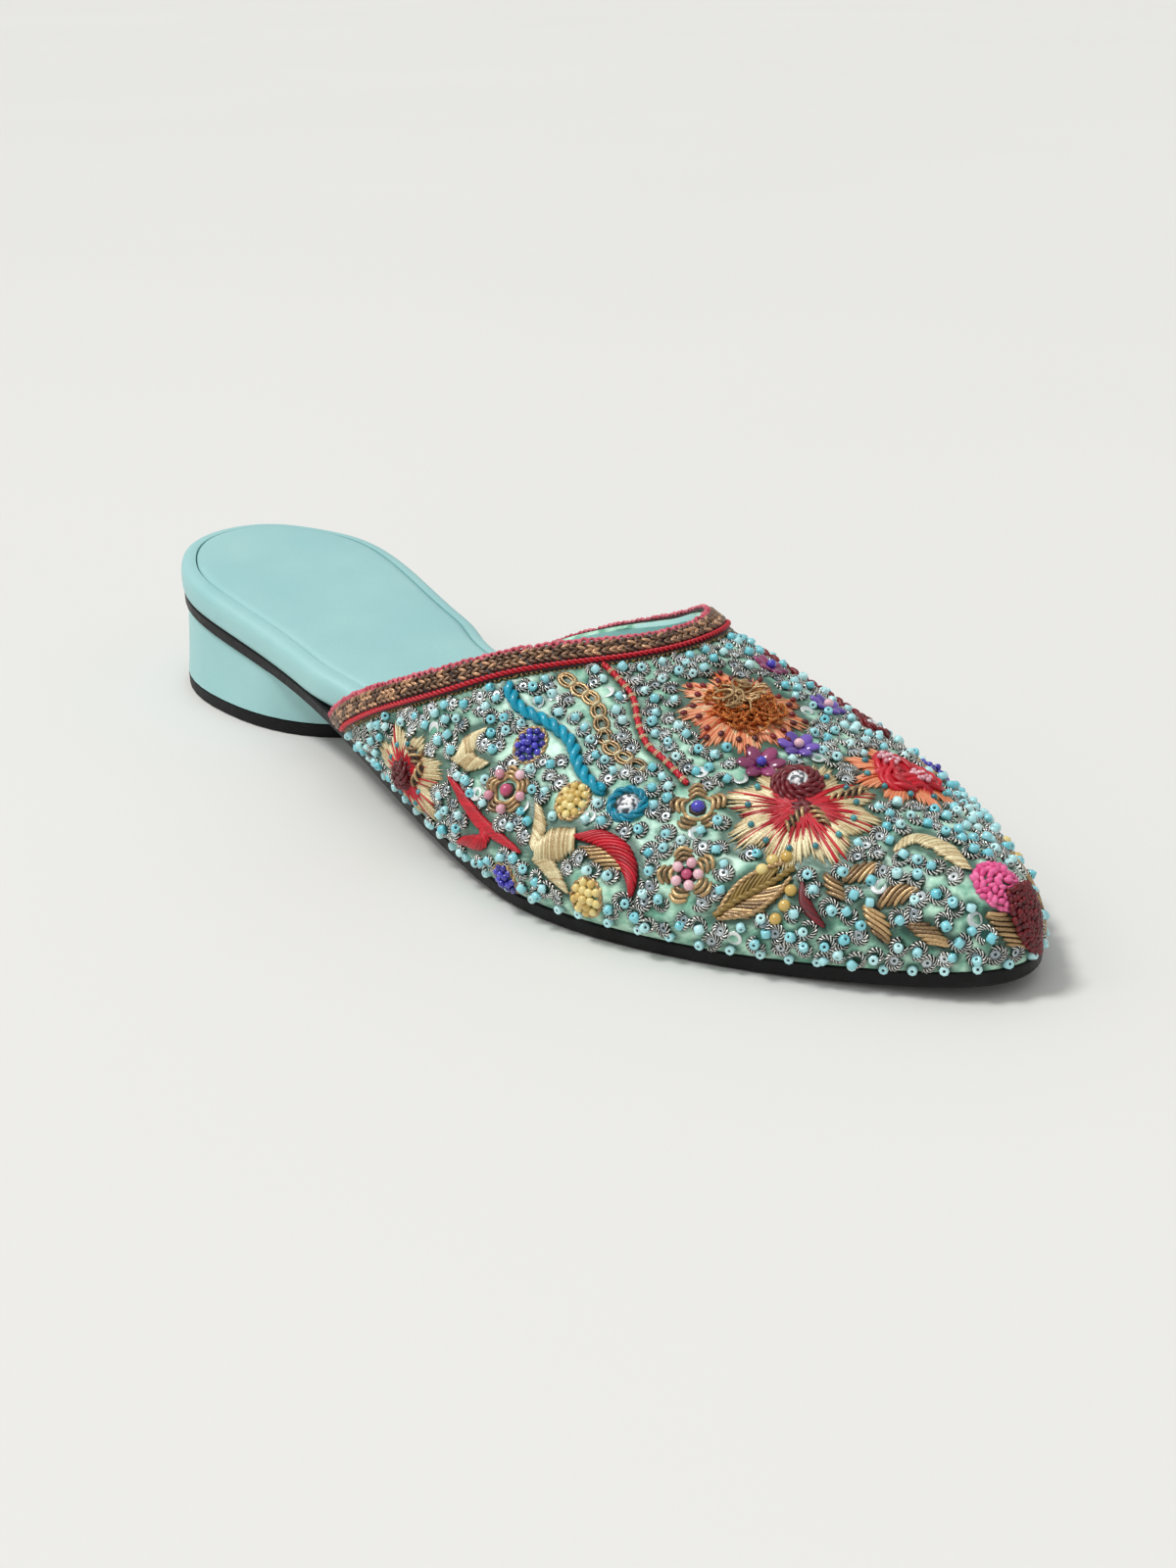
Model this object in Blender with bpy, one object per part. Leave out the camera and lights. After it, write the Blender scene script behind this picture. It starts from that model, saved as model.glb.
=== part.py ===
"""A backless mule for the right foot, about EU 38, in metres with +Z up.

The toe points along +X and the inner side of the foot lies along +Y. The origin is the middle of
the heel's floor face. A distance called `back` runs from the back end of the outsole to the toe.
"""

import math
from collections import namedtuple

import bmesh
import bpy
import numpy as np

# Outsole and heel
LENGTH = 0.248
BALL_WIDTH = 0.078
TOE_RADIUS = 0.0101
HEEL_RADIUS = 0.0235
HEEL_RISE = 0.0215
TOE_SPRING = 0.0030
OUTSOLE_THICK = 0.0030
OUTSOLE_BEVEL = 0.0006
HEEL_CENTRE = 0.0390
HEEL_LENGTH = 0.0738
HEEL_WIDTH = 0.0542
HEEL_SQUARENESS = 2.28
HEEL_SET_IN = 0.0008
LIFT_THICK = 0.0030
LIFT_BEVEL = 0.0004

# Footbed and its sock lining
FOOTBED_THICK = 0.0064
RIM_PROUD = 0.0004
RIM_ROUND = 0.0024
RIM_WIDTH = 0.0036
SOCK_RECESS = 0.0014
SOCK_CROWN = 0.0006
SOCK_SHOULDER = 0.0016

# Upper and its trim
INSTEP_HEIGHT = 0.0375
UPPER_WALL = 0.0018
UPPER_SET_IN = 0.0006
TOE_ROOM = 0.0012
NOSE_LENGTH = 0.0160
NOSE_POWER = 2.4
SIDE_POWER = 1.80
SWELL_POWER = 0.70
TRIM_WIDTH = 0.0056
TRIM_THICK = 0.0011

# Clearance between pieces that touch on the real shoe
GAP = 0.0003

# How finely each piece is divided
STATIONS = 56
COLUMNS = 36
UPPER_ROWS = 24
HEEL_SIDES = 48
HEEL_RINGS = 5
TRIM_ROWS = (0.0, 0.33, 0.67, 1.0)
EDGE_STEP = 1e-4

# Half widths on the outer and inner side of the foot, as shares of the ball width
SoleRow = namedtuple("SoleRow", "station outer inner")
SOLE_OUTLINE = (
    SoleRow(0.025, 0.195, 0.192),
    SoleRow(0.070, 0.287, 0.292),
    SoleRow(0.140, 0.326, 0.322),
    SoleRow(0.250, 0.334, 0.252),
    SoleRow(0.370, 0.386, 0.205),
    SoleRow(0.480, 0.462, 0.252),
    SoleRow(0.600, 0.528, 0.358),
    SoleRow(0.700, 0.536, 0.446),
    SoleRow(0.800, 0.446, 0.464),
    SoleRow(0.900, 0.286, 0.336),
    SoleRow(0.960, 0.172, 0.192),
)

# Underside of the outsole: heel rise and toe spring as shares of their named heights
RiseRow = namedtuple("RiseRow", "station heel toe")
SOLE_RISE = (
    RiseRow(0.00, 1.000, 0.00),
    RiseRow(0.25, 0.611, 0.00),
    RiseRow(0.44, 0.315, 0.00),
    RiseRow(0.56, 0.128, 0.00),
    RiseRow(0.61, 0.048, 0.00),
    RiseRow(0.66, 0.000, 0.00),
    RiseRow(0.83, 0.000, 0.00),
    RiseRow(0.92, 0.000, 0.34),
    RiseRow(1.00, 0.000, 1.00),
)

# Sections of the upper: crown over the outsole as a share of the instep height, ridge moved to the
# inner side as a share of the half width, squareness of the arch, and how far each side swells
# past the sole as a share of the ball width
UpperRow = namedtuple("UpperRow", "station crown ridge square outer inner")
UPPER_SECTIONS = (
    UpperRow(0.32, 1.92, 0.37, 2.50, 0.050, 0.060),
    UpperRow(0.44, 1.55, 0.33, 2.35, 0.066, 0.052),
    UpperRow(0.56, 1.20, 0.28, 2.22, 0.066, 0.044),
    UpperRow(0.64, 0.99, 0.24, 2.16, 0.062, 0.036),
    UpperRow(0.70, 0.85, 0.18, 2.12, 0.058, 0.028),
    UpperRow(0.76, 0.73, 0.10, 2.08, 0.054, 0.022),
    UpperRow(0.82, 0.63, 0.02, 2.04, 0.048, 0.018),
    UpperRow(0.89, 0.53, -0.08, 2.00, 0.036, 0.014),
    UpperRow(0.95, 0.45, -0.14, 1.96, 0.024, 0.012),
    UpperRow(1.00, 0.38, -0.16, 1.94, 0.016, 0.012),
)

# Topline: how far along the shoe it lies, from the outer corner (0) over the instep to the inner (1)
ToplineRow = namedtuple("ToplineRow", "around station")
TOPLINE = (
    ToplineRow(0.00, 0.351),
    ToplineRow(0.25, 0.552),
    ToplineRow(0.50, 0.638),
    ToplineRow(0.75, 0.565),
    ToplineRow(1.00, 0.347),
)

# Thickness of the footbed as a share of its thickness at the heel
FootbedRow = namedtuple("FootbedRow", "station thick")
FOOTBED_THICKNESS = (
    FootbedRow(0.00, 1.00),
    FootbedRow(0.32, 1.00),
    FootbedRow(0.60, 0.72),
    FootbedRow(1.00, 0.55),
)

OUTER, INNER = -1, 1
COLOURS = {
    "outsole": ((0.012, 0.012, 0.013, 1.0), 0.45),
    "top_lift": ((0.015, 0.015, 0.016, 1.0), 0.60),
    "heel_block": ((0.36, 0.66, 0.66, 1.0), 0.42),
    "footbed": ((0.36, 0.66, 0.66, 1.0), 0.42),
    "sock": ((0.37, 0.66, 0.67, 1.0), 0.45),
    "upper": ((0.30, 0.62, 0.52, 1.0), 0.40),
    "topline_trim": ((0.16, 0.09, 0.06, 1.0), 0.50),
}


def flowing(stations, values):
    """A natural cubic spline through a short table, for a line that the eye follows."""
    x, y = np.array(stations, float), np.array(values, float)
    step, count = np.diff(x), len(x)
    bend = np.eye(count)
    pull = np.zeros(count)
    for i in range(1, count - 1):
        bend[i, i - 1 : i + 2] = step[i - 1], 2 * (step[i - 1] + step[i]), step[i]
        pull[i] = 6 * ((y[i + 1] - y[i]) / step[i] - (y[i] - y[i - 1]) / step[i - 1])
    curve = np.linalg.solve(bend, pull)

    def at(where):
        where = np.clip(where, x[0], x[-1])
        i = np.clip(np.searchsorted(x, where) - 1, 0, len(step) - 1)
        t = (where - x[i]) / step[i]
        sag = (1 - t) * ((1 - t) ** 2 - 1) * curve[i] + t * (t * t - 1) * curve[i + 1]
        return y[i] * (1 - t) + y[i + 1] * t + sag * step[i] ** 2 / 6

    return at


def smooth(stations, values):
    """A monotone cubic through a short table: it passes each row and never overshoots one."""
    x, y = np.array(stations, float), np.array(values, float)
    step = np.diff(x)
    slope = np.diff(y) / step
    tangent = np.zeros(len(x))
    tangent[0], tangent[-1] = slope[0], slope[-1]
    for i in range(1, len(x) - 1):
        if slope[i - 1] * slope[i] > 0:
            before, after = 2 * step[i] + step[i - 1], step[i] + 2 * step[i - 1]
            tangent[i] = (before + after) / (before / slope[i - 1] + after / slope[i])

    def at(where):
        where = np.clip(where, x[0], x[-1])
        i = np.clip(np.searchsorted(x, where) - 1, 0, len(step) - 1)
        t = (where - x[i]) / step[i]
        rise = t * t * (3 - 2 * t)
        lead = t * (1 - t) ** 2 * step[i] * tangent[i]
        tail = t * t * (1 - t) * step[i] * tangent[i + 1]
        return y[i] * (1 - rise) + y[i + 1] * rise + lead - tail

    return at


def column(table, name, across="station"):
    """One named column of a table as a smooth function of its first column."""
    return smooth([getattr(row, across) for row in table], [getattr(row, name) for row in table])


def roundness(name):
    """Half width divided by the half width of a circle on the same length, which stays finite at both ends."""
    stations = [row.station for row in SOLE_OUTLINE]
    ratios = [
        getattr(row, name) * BALL_WIDTH / (LENGTH * math.sqrt(row.station * (1 - row.station)))
        for row in SOLE_OUTLINE
    ]
    ends = math.sqrt(2 * HEEL_RADIUS / LENGTH), math.sqrt(2 * TOE_RADIUS / LENGTH)
    return flowing([0, *stations, 1], [ends[0], *ratios, ends[1]])


ROUNDNESS = {OUTER: roundness("outer"), INNER: roundness("inner")}
HEEL_RAISED = column(SOLE_RISE, "heel")
TOE_RAISED = column(SOLE_RISE, "toe")
CROWN = column(UPPER_SECTIONS, "crown")
RIDGE = column(UPPER_SECTIONS, "ridge")
SQUARE = column(UPPER_SECTIONS, "square")
SWELL = {OUTER: column(UPPER_SECTIONS, "outer"), INNER: column(UPPER_SECTIONS, "inner")}
TOPLINE_AT = column(TOPLINE, "station", "around")
FOOTBED_AT = column(FOOTBED_THICKNESS, "thick")


def half_width(side, back):
    share = np.clip(back / LENGTH, 0, 1)
    return ROUNDNESS[side](share) * LENGTH * np.sqrt(share * (1 - share))


def sole_under(back):
    share = back / LENGTH
    return HEEL_RISE * HEEL_RAISED(share) + TOE_SPRING * TOE_RAISED(share)


def sole_top(back):
    return sole_under(back) + OUTSOLE_THICK


def on_outline(side, turn):
    """A point of the sole's outline in plan, from the heel back (turn 0) to the toe tip (turn 1)."""
    share = (1 - np.cos(np.pi * turn)) / 2
    return LENGTH * share, side * ROUNDNESS[side](share) * LENGTH * np.sin(np.pi * turn) / 2


def beside_outline(side, turn, out):
    """The same point moved out from the outline, or in where `out` is negative."""
    x0, y0 = on_outline(side, turn - EDGE_STEP)
    x1, y1 = on_outline(side, turn + EDGE_STEP)
    run = np.hypot(x1 - x0, y1 - y0)
    x, y = on_outline(side, turn)
    return x - side * out * (y1 - y0) / run, y + side * out * (x1 - x0) / run


def placed(back, y, z):
    """Points in the part's own frame, whose origin is under the middle of the heel."""
    back, y, z = np.broadcast_arrays(back, y, z)
    return np.stack([back - HEEL_CENTRE, y, z], axis=-1)


def finished(name, bm):
    """A named object with its material from a bmesh, welded and facing out."""
    bmesh.ops.remove_doubles(bm, verts=bm.verts, dist=1e-6)
    bmesh.ops.dissolve_degenerate(bm, edges=bm.edges, dist=1e-6)
    bmesh.ops.recalc_face_normals(bm, faces=bm.faces)
    mesh = bpy.data.meshes.new(name)
    bm.to_mesh(mesh)
    bm.free()
    mesh.shade_smooth()
    mesh.set_sharp_from_angle(angle=math.radians(38))
    colour, rough = COLOURS[name]
    material = bpy.data.materials.new(name)
    material.use_nodes = True
    shader = material.node_tree.nodes["Principled BSDF"]
    shader.inputs["Base Color"].default_value = colour
    shader.inputs["Roughness"].default_value = rough
    shader.inputs["Metallic"].default_value = 0.0
    mesh.materials.append(material)
    piece = bpy.data.objects.new(name, mesh)
    bpy.context.scene.collection.objects.link(piece)
    return piece


def skin(bm, rows, closed):
    """Quads between rows of points; `closed` joins each row's last point to its first."""
    verts = [[bm.verts.new(point) for point in row] for row in rows]
    for low, high in zip(verts, verts[1:]):
        count = len(low) if closed else len(low) - 1
        for i in range(count):
            j = (i + 1) % len(low)
            bm.faces.new((low[i], low[j], high[j], high[i]))
    return verts


def lofted(name, rings, caps):
    """A solid through closed rings. Rings that shrink to a line or a point need no caps."""
    bm = bmesh.new()
    verts = skin(bm, rings, closed=True)
    if caps:
        bm.faces.new(verts[0])
        bm.faces.new(verts[-1])
    return finished(name, bm)


def plank(name, edge, out, base):
    """A solid along the sole. `edge` lists (inset, height) pairs up one side of its section."""
    rings = []
    for turn in np.linspace(0, 1, STATIONS + 1):
        ring = []
        for side, pairs in ((OUTER, edge), (INNER, edge[::-1])):
            for inset, height in pairs:
                back, _ = beside_outline(side, turn, 0.0)
                back, y = beside_outline(side, turn, out(side, back) - inset)
                ring.append(placed(back, y, base(back) + height(back)))
        rings.append(ring)
    return lofted(name, rings, caps=False)


def level(height):
    """A height that is the same all along the piece."""
    return lambda back: height


def make_outsole():
    edge = [
        (OUTSOLE_BEVEL, level(0.0)),
        (0.0, level(OUTSOLE_BEVEL)),
        (0.0, level(OUTSOLE_THICK - OUTSOLE_BEVEL / 2)),
        (OUTSOLE_BEVEL / 2, level(OUTSOLE_THICK)),
    ]
    return plank("outsole", edge, lambda side, back: 0.0, sole_under)


def oval(turn, shrink):
    """The heel's plan: a squarish oval, set about the part's origin."""
    power = 2 / HEEL_SQUARENESS
    c, s = math.cos(turn), math.sin(turn)
    x = (HEEL_LENGTH / 2 - shrink) * math.copysign(abs(c) ** power, c)
    y = (HEEL_WIDTH / 2 - shrink) * math.copysign(abs(s) ** power, s)
    return x, y


def make_top_lift():
    steps = ((LIFT_BEVEL, 0.0), (0.0, LIFT_BEVEL), (0.0, LIFT_THICK))
    turns = np.linspace(0, 2 * math.pi, HEEL_SIDES, endpoint=False)
    rings = [[(*oval(turn, shrink), z) for turn in turns] for shrink, z in steps]
    return lofted("top_lift", rings, caps=True)


def make_heel_block():
    """Upright sides that flare from the outsole's outline down to the lift's oval."""
    rings = []
    for rise in np.linspace(0, 1, HEEL_RINGS):
        ring = []
        for turn in np.linspace(0, 2 * math.pi, HEEL_SIDES, endpoint=False):
            x, y = oval(turn, 0.0)
            side = INNER if y >= 0 else OUTER
            limit = float(half_width(side, x + HEEL_CENTRE)) - HEEL_SET_IN
            top_y = math.copysign(min(abs(y), limit), y)
            foot, head = LIFT_THICK + GAP, float(sole_under(x + HEEL_CENTRE)) - GAP
            share = rise ** 0.8
            ring.append((x, y + (top_y - y) * share, foot + (head - foot) * rise))
        rings.append(ring)
    return lofted("heel_block", rings, caps=True)


def corner(side):
    """Where the topline comes down to the sole on one side."""
    return LENGTH * TOPLINE_AT(0.0 if side == OUTER else 1.0)


def footbed_out(side, back):
    """The rim stands a little proud behind the upper's corners and passes inside the upper's wall in front of them."""
    toe_room = TOE_ROOM * np.clip((back - 0.6 * LENGTH) / (0.2 * LENGTH), 0, 1)
    inside = -(UPPER_SET_IN + UPPER_WALL + 2 * GAP + toe_room)
    start, end = corner(side) - 4 * UPPER_WALL, corner(side) - GAP
    t = np.clip((back - start) / (end - start), 0, 1)
    return RIM_PROUD + (inside - RIM_PROUD) * t * t * (3 - 2 * t)


def footbed_top(back):
    return sole_top(back) + GAP + FOOTBED_THICK * FOOTBED_AT(back / LENGTH)


def make_footbed():
    def under_top(drop):
        return lambda back: FOOTBED_THICK * FOOTBED_AT(back / LENGTH) - drop

    edge = [(RIM_PROUD, level(0.0)), (0.0, level(OUTSOLE_BEVEL))]
    for turn in np.linspace(0, math.pi / 2, 4):
        edge.append((RIM_ROUND * (1 - math.cos(turn)), under_top(RIM_ROUND * (1 - math.sin(turn)))))
    edge.append((RIM_WIDTH, under_top(0.0)))
    edge.append((RIM_WIDTH, under_top(SOCK_RECESS)))
    return plank("footbed", edge, footbed_out, lambda back: sole_top(back) + GAP)


def make_sock():
    edge = [
        (0.0, level(GAP - SOCK_RECESS)),
        (0.0, level(-GAP)),
        (SOCK_SHOULDER / 3, level(SOCK_CROWN / 2)),
        (SOCK_SHOULDER, level(SOCK_CROWN)),
    ]
    return plank("sock", edge, lambda side, back: footbed_out(side, back) - RIM_WIDTH - GAP, footbed_top)


def upper_end(out):
    return LENGTH - UPPER_SET_IN + out


def upper_point(around, back, out):
    """A point of the upper's surface: `around` runs from the outer sole edge (0) over the crown to the
    inner one (1), `back` along the shoe. `out` moves the whole surface outwards or inwards."""
    ball = 0.7 * LENGTH
    near_tip = np.clip((back - ball) / (upper_end(out) - ball), 0, 1)
    own = np.where(near_tip > 0, ball + near_tip * (LENGTH - ball), back)
    fade = np.sqrt(1 - near_tip**2)
    share = own / LENGTH
    angle = np.pi * around
    c, s = np.cos(angle), np.clip(np.sin(angle), 0, 1)
    arch = np.abs(c) ** (2 / SQUARE(share))
    swell = np.sin(np.pi * s**SWELL_POWER) * BALL_WIDTH
    outer = half_width(OUTER, own) + (out - UPPER_SET_IN) * fade
    inner = half_width(INNER, own) + (out - UPPER_SET_IN) * fade
    middle, half = (inner - outer) / 2, (inner + outer) / 2
    tip = np.sqrt(1 - near_tip**4)
    y_outer = -half * arch - SWELL[OUTER](share) * swell * tip
    y_inner = half * arch + SWELL[INNER](share) * swell * tip
    y = middle + np.where(c > 0, y_outer, y_inner) + RIDGE(share) * half * s**2
    nose = np.clip((own - (LENGTH - NOSE_LENGTH)) / NOSE_LENGTH, 0, 1)
    crown = INSTEP_HEIGHT * CROWN(share) * (1 - nose**NOSE_POWER) ** (1 / NOSE_POWER) + out * fade
    return placed(back, y, sole_top(back) + GAP + crown * s ** (2 / SIDE_POWER))


def topline_back(around):
    return LENGTH * TOPLINE_AT(around)


def trim_reach(around):
    """How far along the shoe the trim goes from the topline, so that its width across stays the same."""
    step = 1e-3
    here = topline_back(around)
    before, after = np.clip(around - step, 0, 1), np.clip(around + step, 0, 1)
    line = upper_point(after, topline_back(after), 0.0) - upper_point(before, topline_back(before), 0.0)
    ahead = upper_point(around, here + step, 0.0) - upper_point(around, here, 0.0)
    line /= np.linalg.norm(line, axis=-1, keepdims=True)
    across = np.linalg.norm(np.cross(ahead, line), axis=-1) / step
    return TRIM_WIDTH / across


def upper_rows(out):
    """Rows of points from the topline to the toe tip. The first ones are the trim's own, and the
    rest come closer together towards the tip."""
    around = np.linspace(0, 1, COLUMNS + 1)
    start, reach = topline_back(around), trim_reach(around)
    below = start + reach
    backs = [start + reach * t for t in TRIM_ROWS[:-1]]
    for t in np.linspace(0, 1, UPPER_ROWS + 1):
        backs.append(below + (upper_end(out) - below) * math.sin(math.pi / 2 * t))
    return [upper_point(around, back, out) for back in backs]


def make_upper():
    """One wall: outer face, lining face, a rolled topline and a flat edge along the sole."""
    around = np.linspace(0, 1, COLUMNS + 1)
    roll = upper_point(around, topline_back(around) - UPPER_WALL / 3, -UPPER_WALL / 2)
    roll[[0, -1], 2] = (upper_point(around, topline_back(around), 0.0))[[0, -1], 2]
    outer, lining = upper_rows(0.0), upper_rows(-UPPER_WALL)
    bm = bmesh.new()
    skin(bm, [*lining[::-1], roll, *outer], closed=False)
    for i in (0, -1):
        skin(bm, [[row[i] for row in lining], [row[i] for row in outer]], closed=False)
        bm.faces.new([bm.verts.new(point) for point in (lining[0][i], roll[i], outer[0][i])])
    return finished("upper", bm)


def make_topline_trim():
    """A band cut between two copies of the upper's surface, along the topline."""
    around = np.linspace(0, 1, COLUMNS + 1)
    start, reach = topline_back(around), trim_reach(around)
    edge = [(t, GAP) for t in TRIM_ROWS]
    edge += [(t, GAP + TRIM_THICK * lift) for t, lift in ((1.0, 0.5), (0.85, 1.0), (0.5, 1.0), (0.15, 1.0), (0.0, 0.5))]
    rows = [upper_point(around, start + reach * t, out) for t, out in edge]
    return lofted("topline_trim", list(np.stack(rows, axis=1)), caps=True)


def main():
    for old in list(bpy.data.objects):
        bpy.data.objects.remove(old)
    shoe = bpy.data.objects.new("mule", None)
    bpy.context.scene.collection.objects.link(shoe)
    makers = (
        make_outsole,
        make_top_lift,
        make_heel_block,
        make_footbed,
        make_sock,
        make_upper,
        make_topline_trim,
    )
    for make in makers:
        make().parent = shoe


main()
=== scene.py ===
# %% [markdown]
# A beaded mule, dressed piece by piece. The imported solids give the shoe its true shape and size: sole, heel,
# footbed, upper and the band along its opening. This script gives each its finish, and lays the embroidery
# on the upper. One unit is a metre, the toe points along +X, and the floor is at 0.

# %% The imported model
import math
import bmesh
import bpy
import numpy as np
from mathutils import Matrix, Vector
from mathutils.bvhtree import BVHTree
from mathutils.kdtree import KDTree


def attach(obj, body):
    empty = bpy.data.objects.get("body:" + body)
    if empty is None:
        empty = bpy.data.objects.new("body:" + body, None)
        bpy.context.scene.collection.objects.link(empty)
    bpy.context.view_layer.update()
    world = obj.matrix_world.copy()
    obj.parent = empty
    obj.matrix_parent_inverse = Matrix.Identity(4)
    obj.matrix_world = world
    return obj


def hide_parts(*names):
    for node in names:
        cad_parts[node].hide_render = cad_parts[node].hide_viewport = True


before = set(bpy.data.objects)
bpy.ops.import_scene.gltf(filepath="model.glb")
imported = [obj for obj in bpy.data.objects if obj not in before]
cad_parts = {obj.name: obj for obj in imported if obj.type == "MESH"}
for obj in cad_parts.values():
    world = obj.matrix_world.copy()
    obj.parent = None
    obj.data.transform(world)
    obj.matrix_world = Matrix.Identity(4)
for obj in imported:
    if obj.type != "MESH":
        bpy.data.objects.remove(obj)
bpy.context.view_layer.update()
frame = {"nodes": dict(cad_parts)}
MM = 0.001
FULL_TURN = 2 * math.pi
chance = np.random.default_rng(11)
print("solids:", ", ".join(frame["nodes"]))


def placed(name, data):
    """An object of that data, linked into the scene."""
    made = bpy.data.objects.new(name, data)
    bpy.context.scene.collection.objects.link(made)
    return made



# %% [markdown]
# The camera stands where the photographer's stood, at the height of a low tripod. A longer lens frames the
# one shoe, and the slight roll is that of a camera held by hand.

# %% The camera
CAMERA_PLACE = Vector((0.4106, -0.2627, 0.1725))
CAMERA_AIM = Vector((0.096, 0.0, 0.004))
CAMERA_ROLL = math.radians(-1.2)
CAMERA_LENS = 50.0

camera = placed("camera", bpy.data.cameras.new("camera"))
bpy.context.scene.camera = camera
camera.data.sensor_fit = "VERTICAL"
camera.data.sensor_height = 36.0
camera.data.lens = CAMERA_LENS
camera.data.clip_start = 0.01
facing = (CAMERA_AIM - CAMERA_PLACE).to_track_quat("-Z", "Y").to_matrix()
rolled = facing @ Matrix.Rotation(CAMERA_ROLL, 3, "Z")
camera.matrix_world = Matrix.Translation(CAMERA_PLACE) @ rolled.to_4x4()
print("camera at", tuple(round(value, 3) for value in camera.location))

# %% [markdown]
# A material is a small network of nodes. Written node by node it is long and hard to read, so a Signal wraps
# one output and lets shader maths be written as plain maths: wave * 1.5 adds a Multiply node. A Finish holds
# one material and adds any other node by its type.


# %% Shader maths
class Signal:
    """One output of a material's nodes."""

    def __init__(self, finish, socket):
        self.finish = finish
        self.socket = socket

    def maths(self, operation, *values):
        return self.finish.node("ShaderNodeMath", {"operation": operation}, *values)

    def __add__(self, other):
        return self.maths("ADD", self, other)

    def __sub__(self, other):
        return self.maths("SUBTRACT", self, other)

    def __mul__(self, other):
        return self.maths("MULTIPLY", self, other)

    def span(self, low, high, start=0.0, end=1.0):
        """Start at or below low, end at or above high, and straight between."""
        return self.finish.node("ShaderNodeMapRange", {}, self, low, high, start, end)


# %% Materials under plain names
def tint(red, green, blue):
    """A colour as a paint chart gives it, 0 to 255, turned into the light that shaders mix."""
    parts = [part / 255 for part in (red, green, blue)]
    return tuple(p / 12.92 if p < 0.04045 else ((p + 0.055) / 1.055) ** 2.4 for p in parts) + (1.0,)


class Finish:
    """A material, with one method that adds any node to it."""

    def __init__(self, name, **constants):
        self.material = bpy.data.materials.new(name)
        self.material.use_nodes = True
        self.tree = self.material.node_tree
        self.shader = self.tree.nodes["Principled BSDF"]
        for socket, value in constants.items():
            self.set(socket.replace("_", " "), value)

    def feed(self, socket, value):
        if isinstance(value, Signal):
            self.tree.links.new(value.socket, socket)
        else:
            socket.default_value = value

    def set(self, socket, value):
        self.feed(self.shader.inputs[socket], value)

    def node(self, kind, settings, *values, out=0, **named):
        """Adds a node: its settings first, then its sockets in order or by name. Gives one output back."""
        node = self.tree.nodes.new(kind)
        for setting, value in settings.items():
            setattr(node, setting, value)
        for socket, value in zip(node.inputs, values):
            self.feed(socket, value)
        for socket, value in named.items():
            self.feed(node.inputs[socket], value)
        return Signal(self, node.outputs[out])

    def place(self):
        return self.node("ShaderNodeTexCoord", {}, out=3)

    def mark(self, name):
        """A number that the mesh carries at each of its points."""
        return self.node("ShaderNodeAttribute", {"attribute_name": name}, out=2)

    def noise(self, scale, detail=2.0, where=None):
        return self.node("ShaderNodeTexNoise", {}, Vector=where or self.place(), Scale=scale, Detail=detail)

    def blend(self, share, first, second):
        mix = self.tree.nodes.new("ShaderNodeMix")
        mix.data_type = "RGBA"
        for number, value in ((0, share), (6, first), (7, second)):
            self.feed(mix.inputs[number], value)
        return Signal(self, mix.outputs[2])

    def bump(self, height, depth):
        """Relief of that depth in metres."""
        self.set("Normal", self.node("ShaderNodeBump", {}, Distance=depth, Height=height))


# %% [markdown]
# The aqua leather is a fine smooth hide over board: an almost even colour, a grain that only shows in the
# gloss, and a slightly worn, lighter tone in broad patches. Noise at two sizes does both, one for the pores
# and a broad one for the tone.


# %% Leather, sole edge and rubber
LEATHER_GRAIN = 1500.0


def aqua_leather(name, colour, worn):
    finish = Finish(name, Coat_Weight=0.12, Coat_Roughness=0.35)
    broad = finish.noise(38.0, 3.0)
    pores = finish.noise(LEATHER_GRAIN, 4.0)
    finish.set("Base Color", finish.blend(broad.span(0.35, 0.75), colour, worn))
    finish.set("Roughness", pores.span(0.3, 0.7, 0.38, 0.50) + broad.span(0.3, 0.8, 0.0, 0.06))
    finish.bump(pores + finish.noise(LEATHER_GRAIN * 0.22, 2.0) * 1.4, 0.00006)
    return finish.material


leather = aqua_leather("aqua_leather", tint(154, 204, 204), tint(165, 211, 209))
lining_leather = aqua_leather("aqua_lining", tint(166, 214, 208), tint(176, 220, 214))


def black_sole(name, roughness, colour, worn, grain):
    """Black leather or rubber with a speckled relief and pale scuffs."""
    finish = Finish(name, Specular_IOR_Level=0.22)
    speckle = finish.noise(grain, 5.0)
    scuffs = finish.noise(130.0, 4.0)
    finish.set("Base Color", finish.blend(scuffs.span(0.55, 0.75), colour, worn))
    finish.set("Roughness", speckle.span(0.2, 0.8, roughness - 0.08, roughness + 0.12))
    finish.bump(speckle + scuffs * 0.5, 0.00008)
    return finish.material


sole_black = black_sole("black_sole", 0.42, tint(9, 9, 10), tint(24, 24, 25), 700.0)
lift_rubber = black_sole("black_rubber", 0.55, tint(9, 10, 10), tint(24, 25, 25), 1600.0)
print("materials so far:", len(bpy.data.materials))

# %% [markdown]
# A dressed piece is a welded copy of its solid. The imported mesh is loose triangles, so the copy first has its
# doubles merged and its triangles joined to quads; then every edge but the true corners is shaded smooth,
# and a subdivision rounds what is soft. It stands for its node, which stays in the scene, hidden.


# %% Dressing a solid
CORNER = math.radians(34)


def welded(node):
    """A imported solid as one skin, mostly of quads."""
    shape = bmesh.new()
    shape.from_mesh(frame["nodes"][node].data)
    bmesh.ops.remove_doubles(shape, verts=shape.verts, dist=2e-6)
    bmesh.ops.join_triangles(shape, faces=shape.faces, angle_face_threshold=0.5, angle_shape_threshold=1.2)
    return shape


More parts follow.
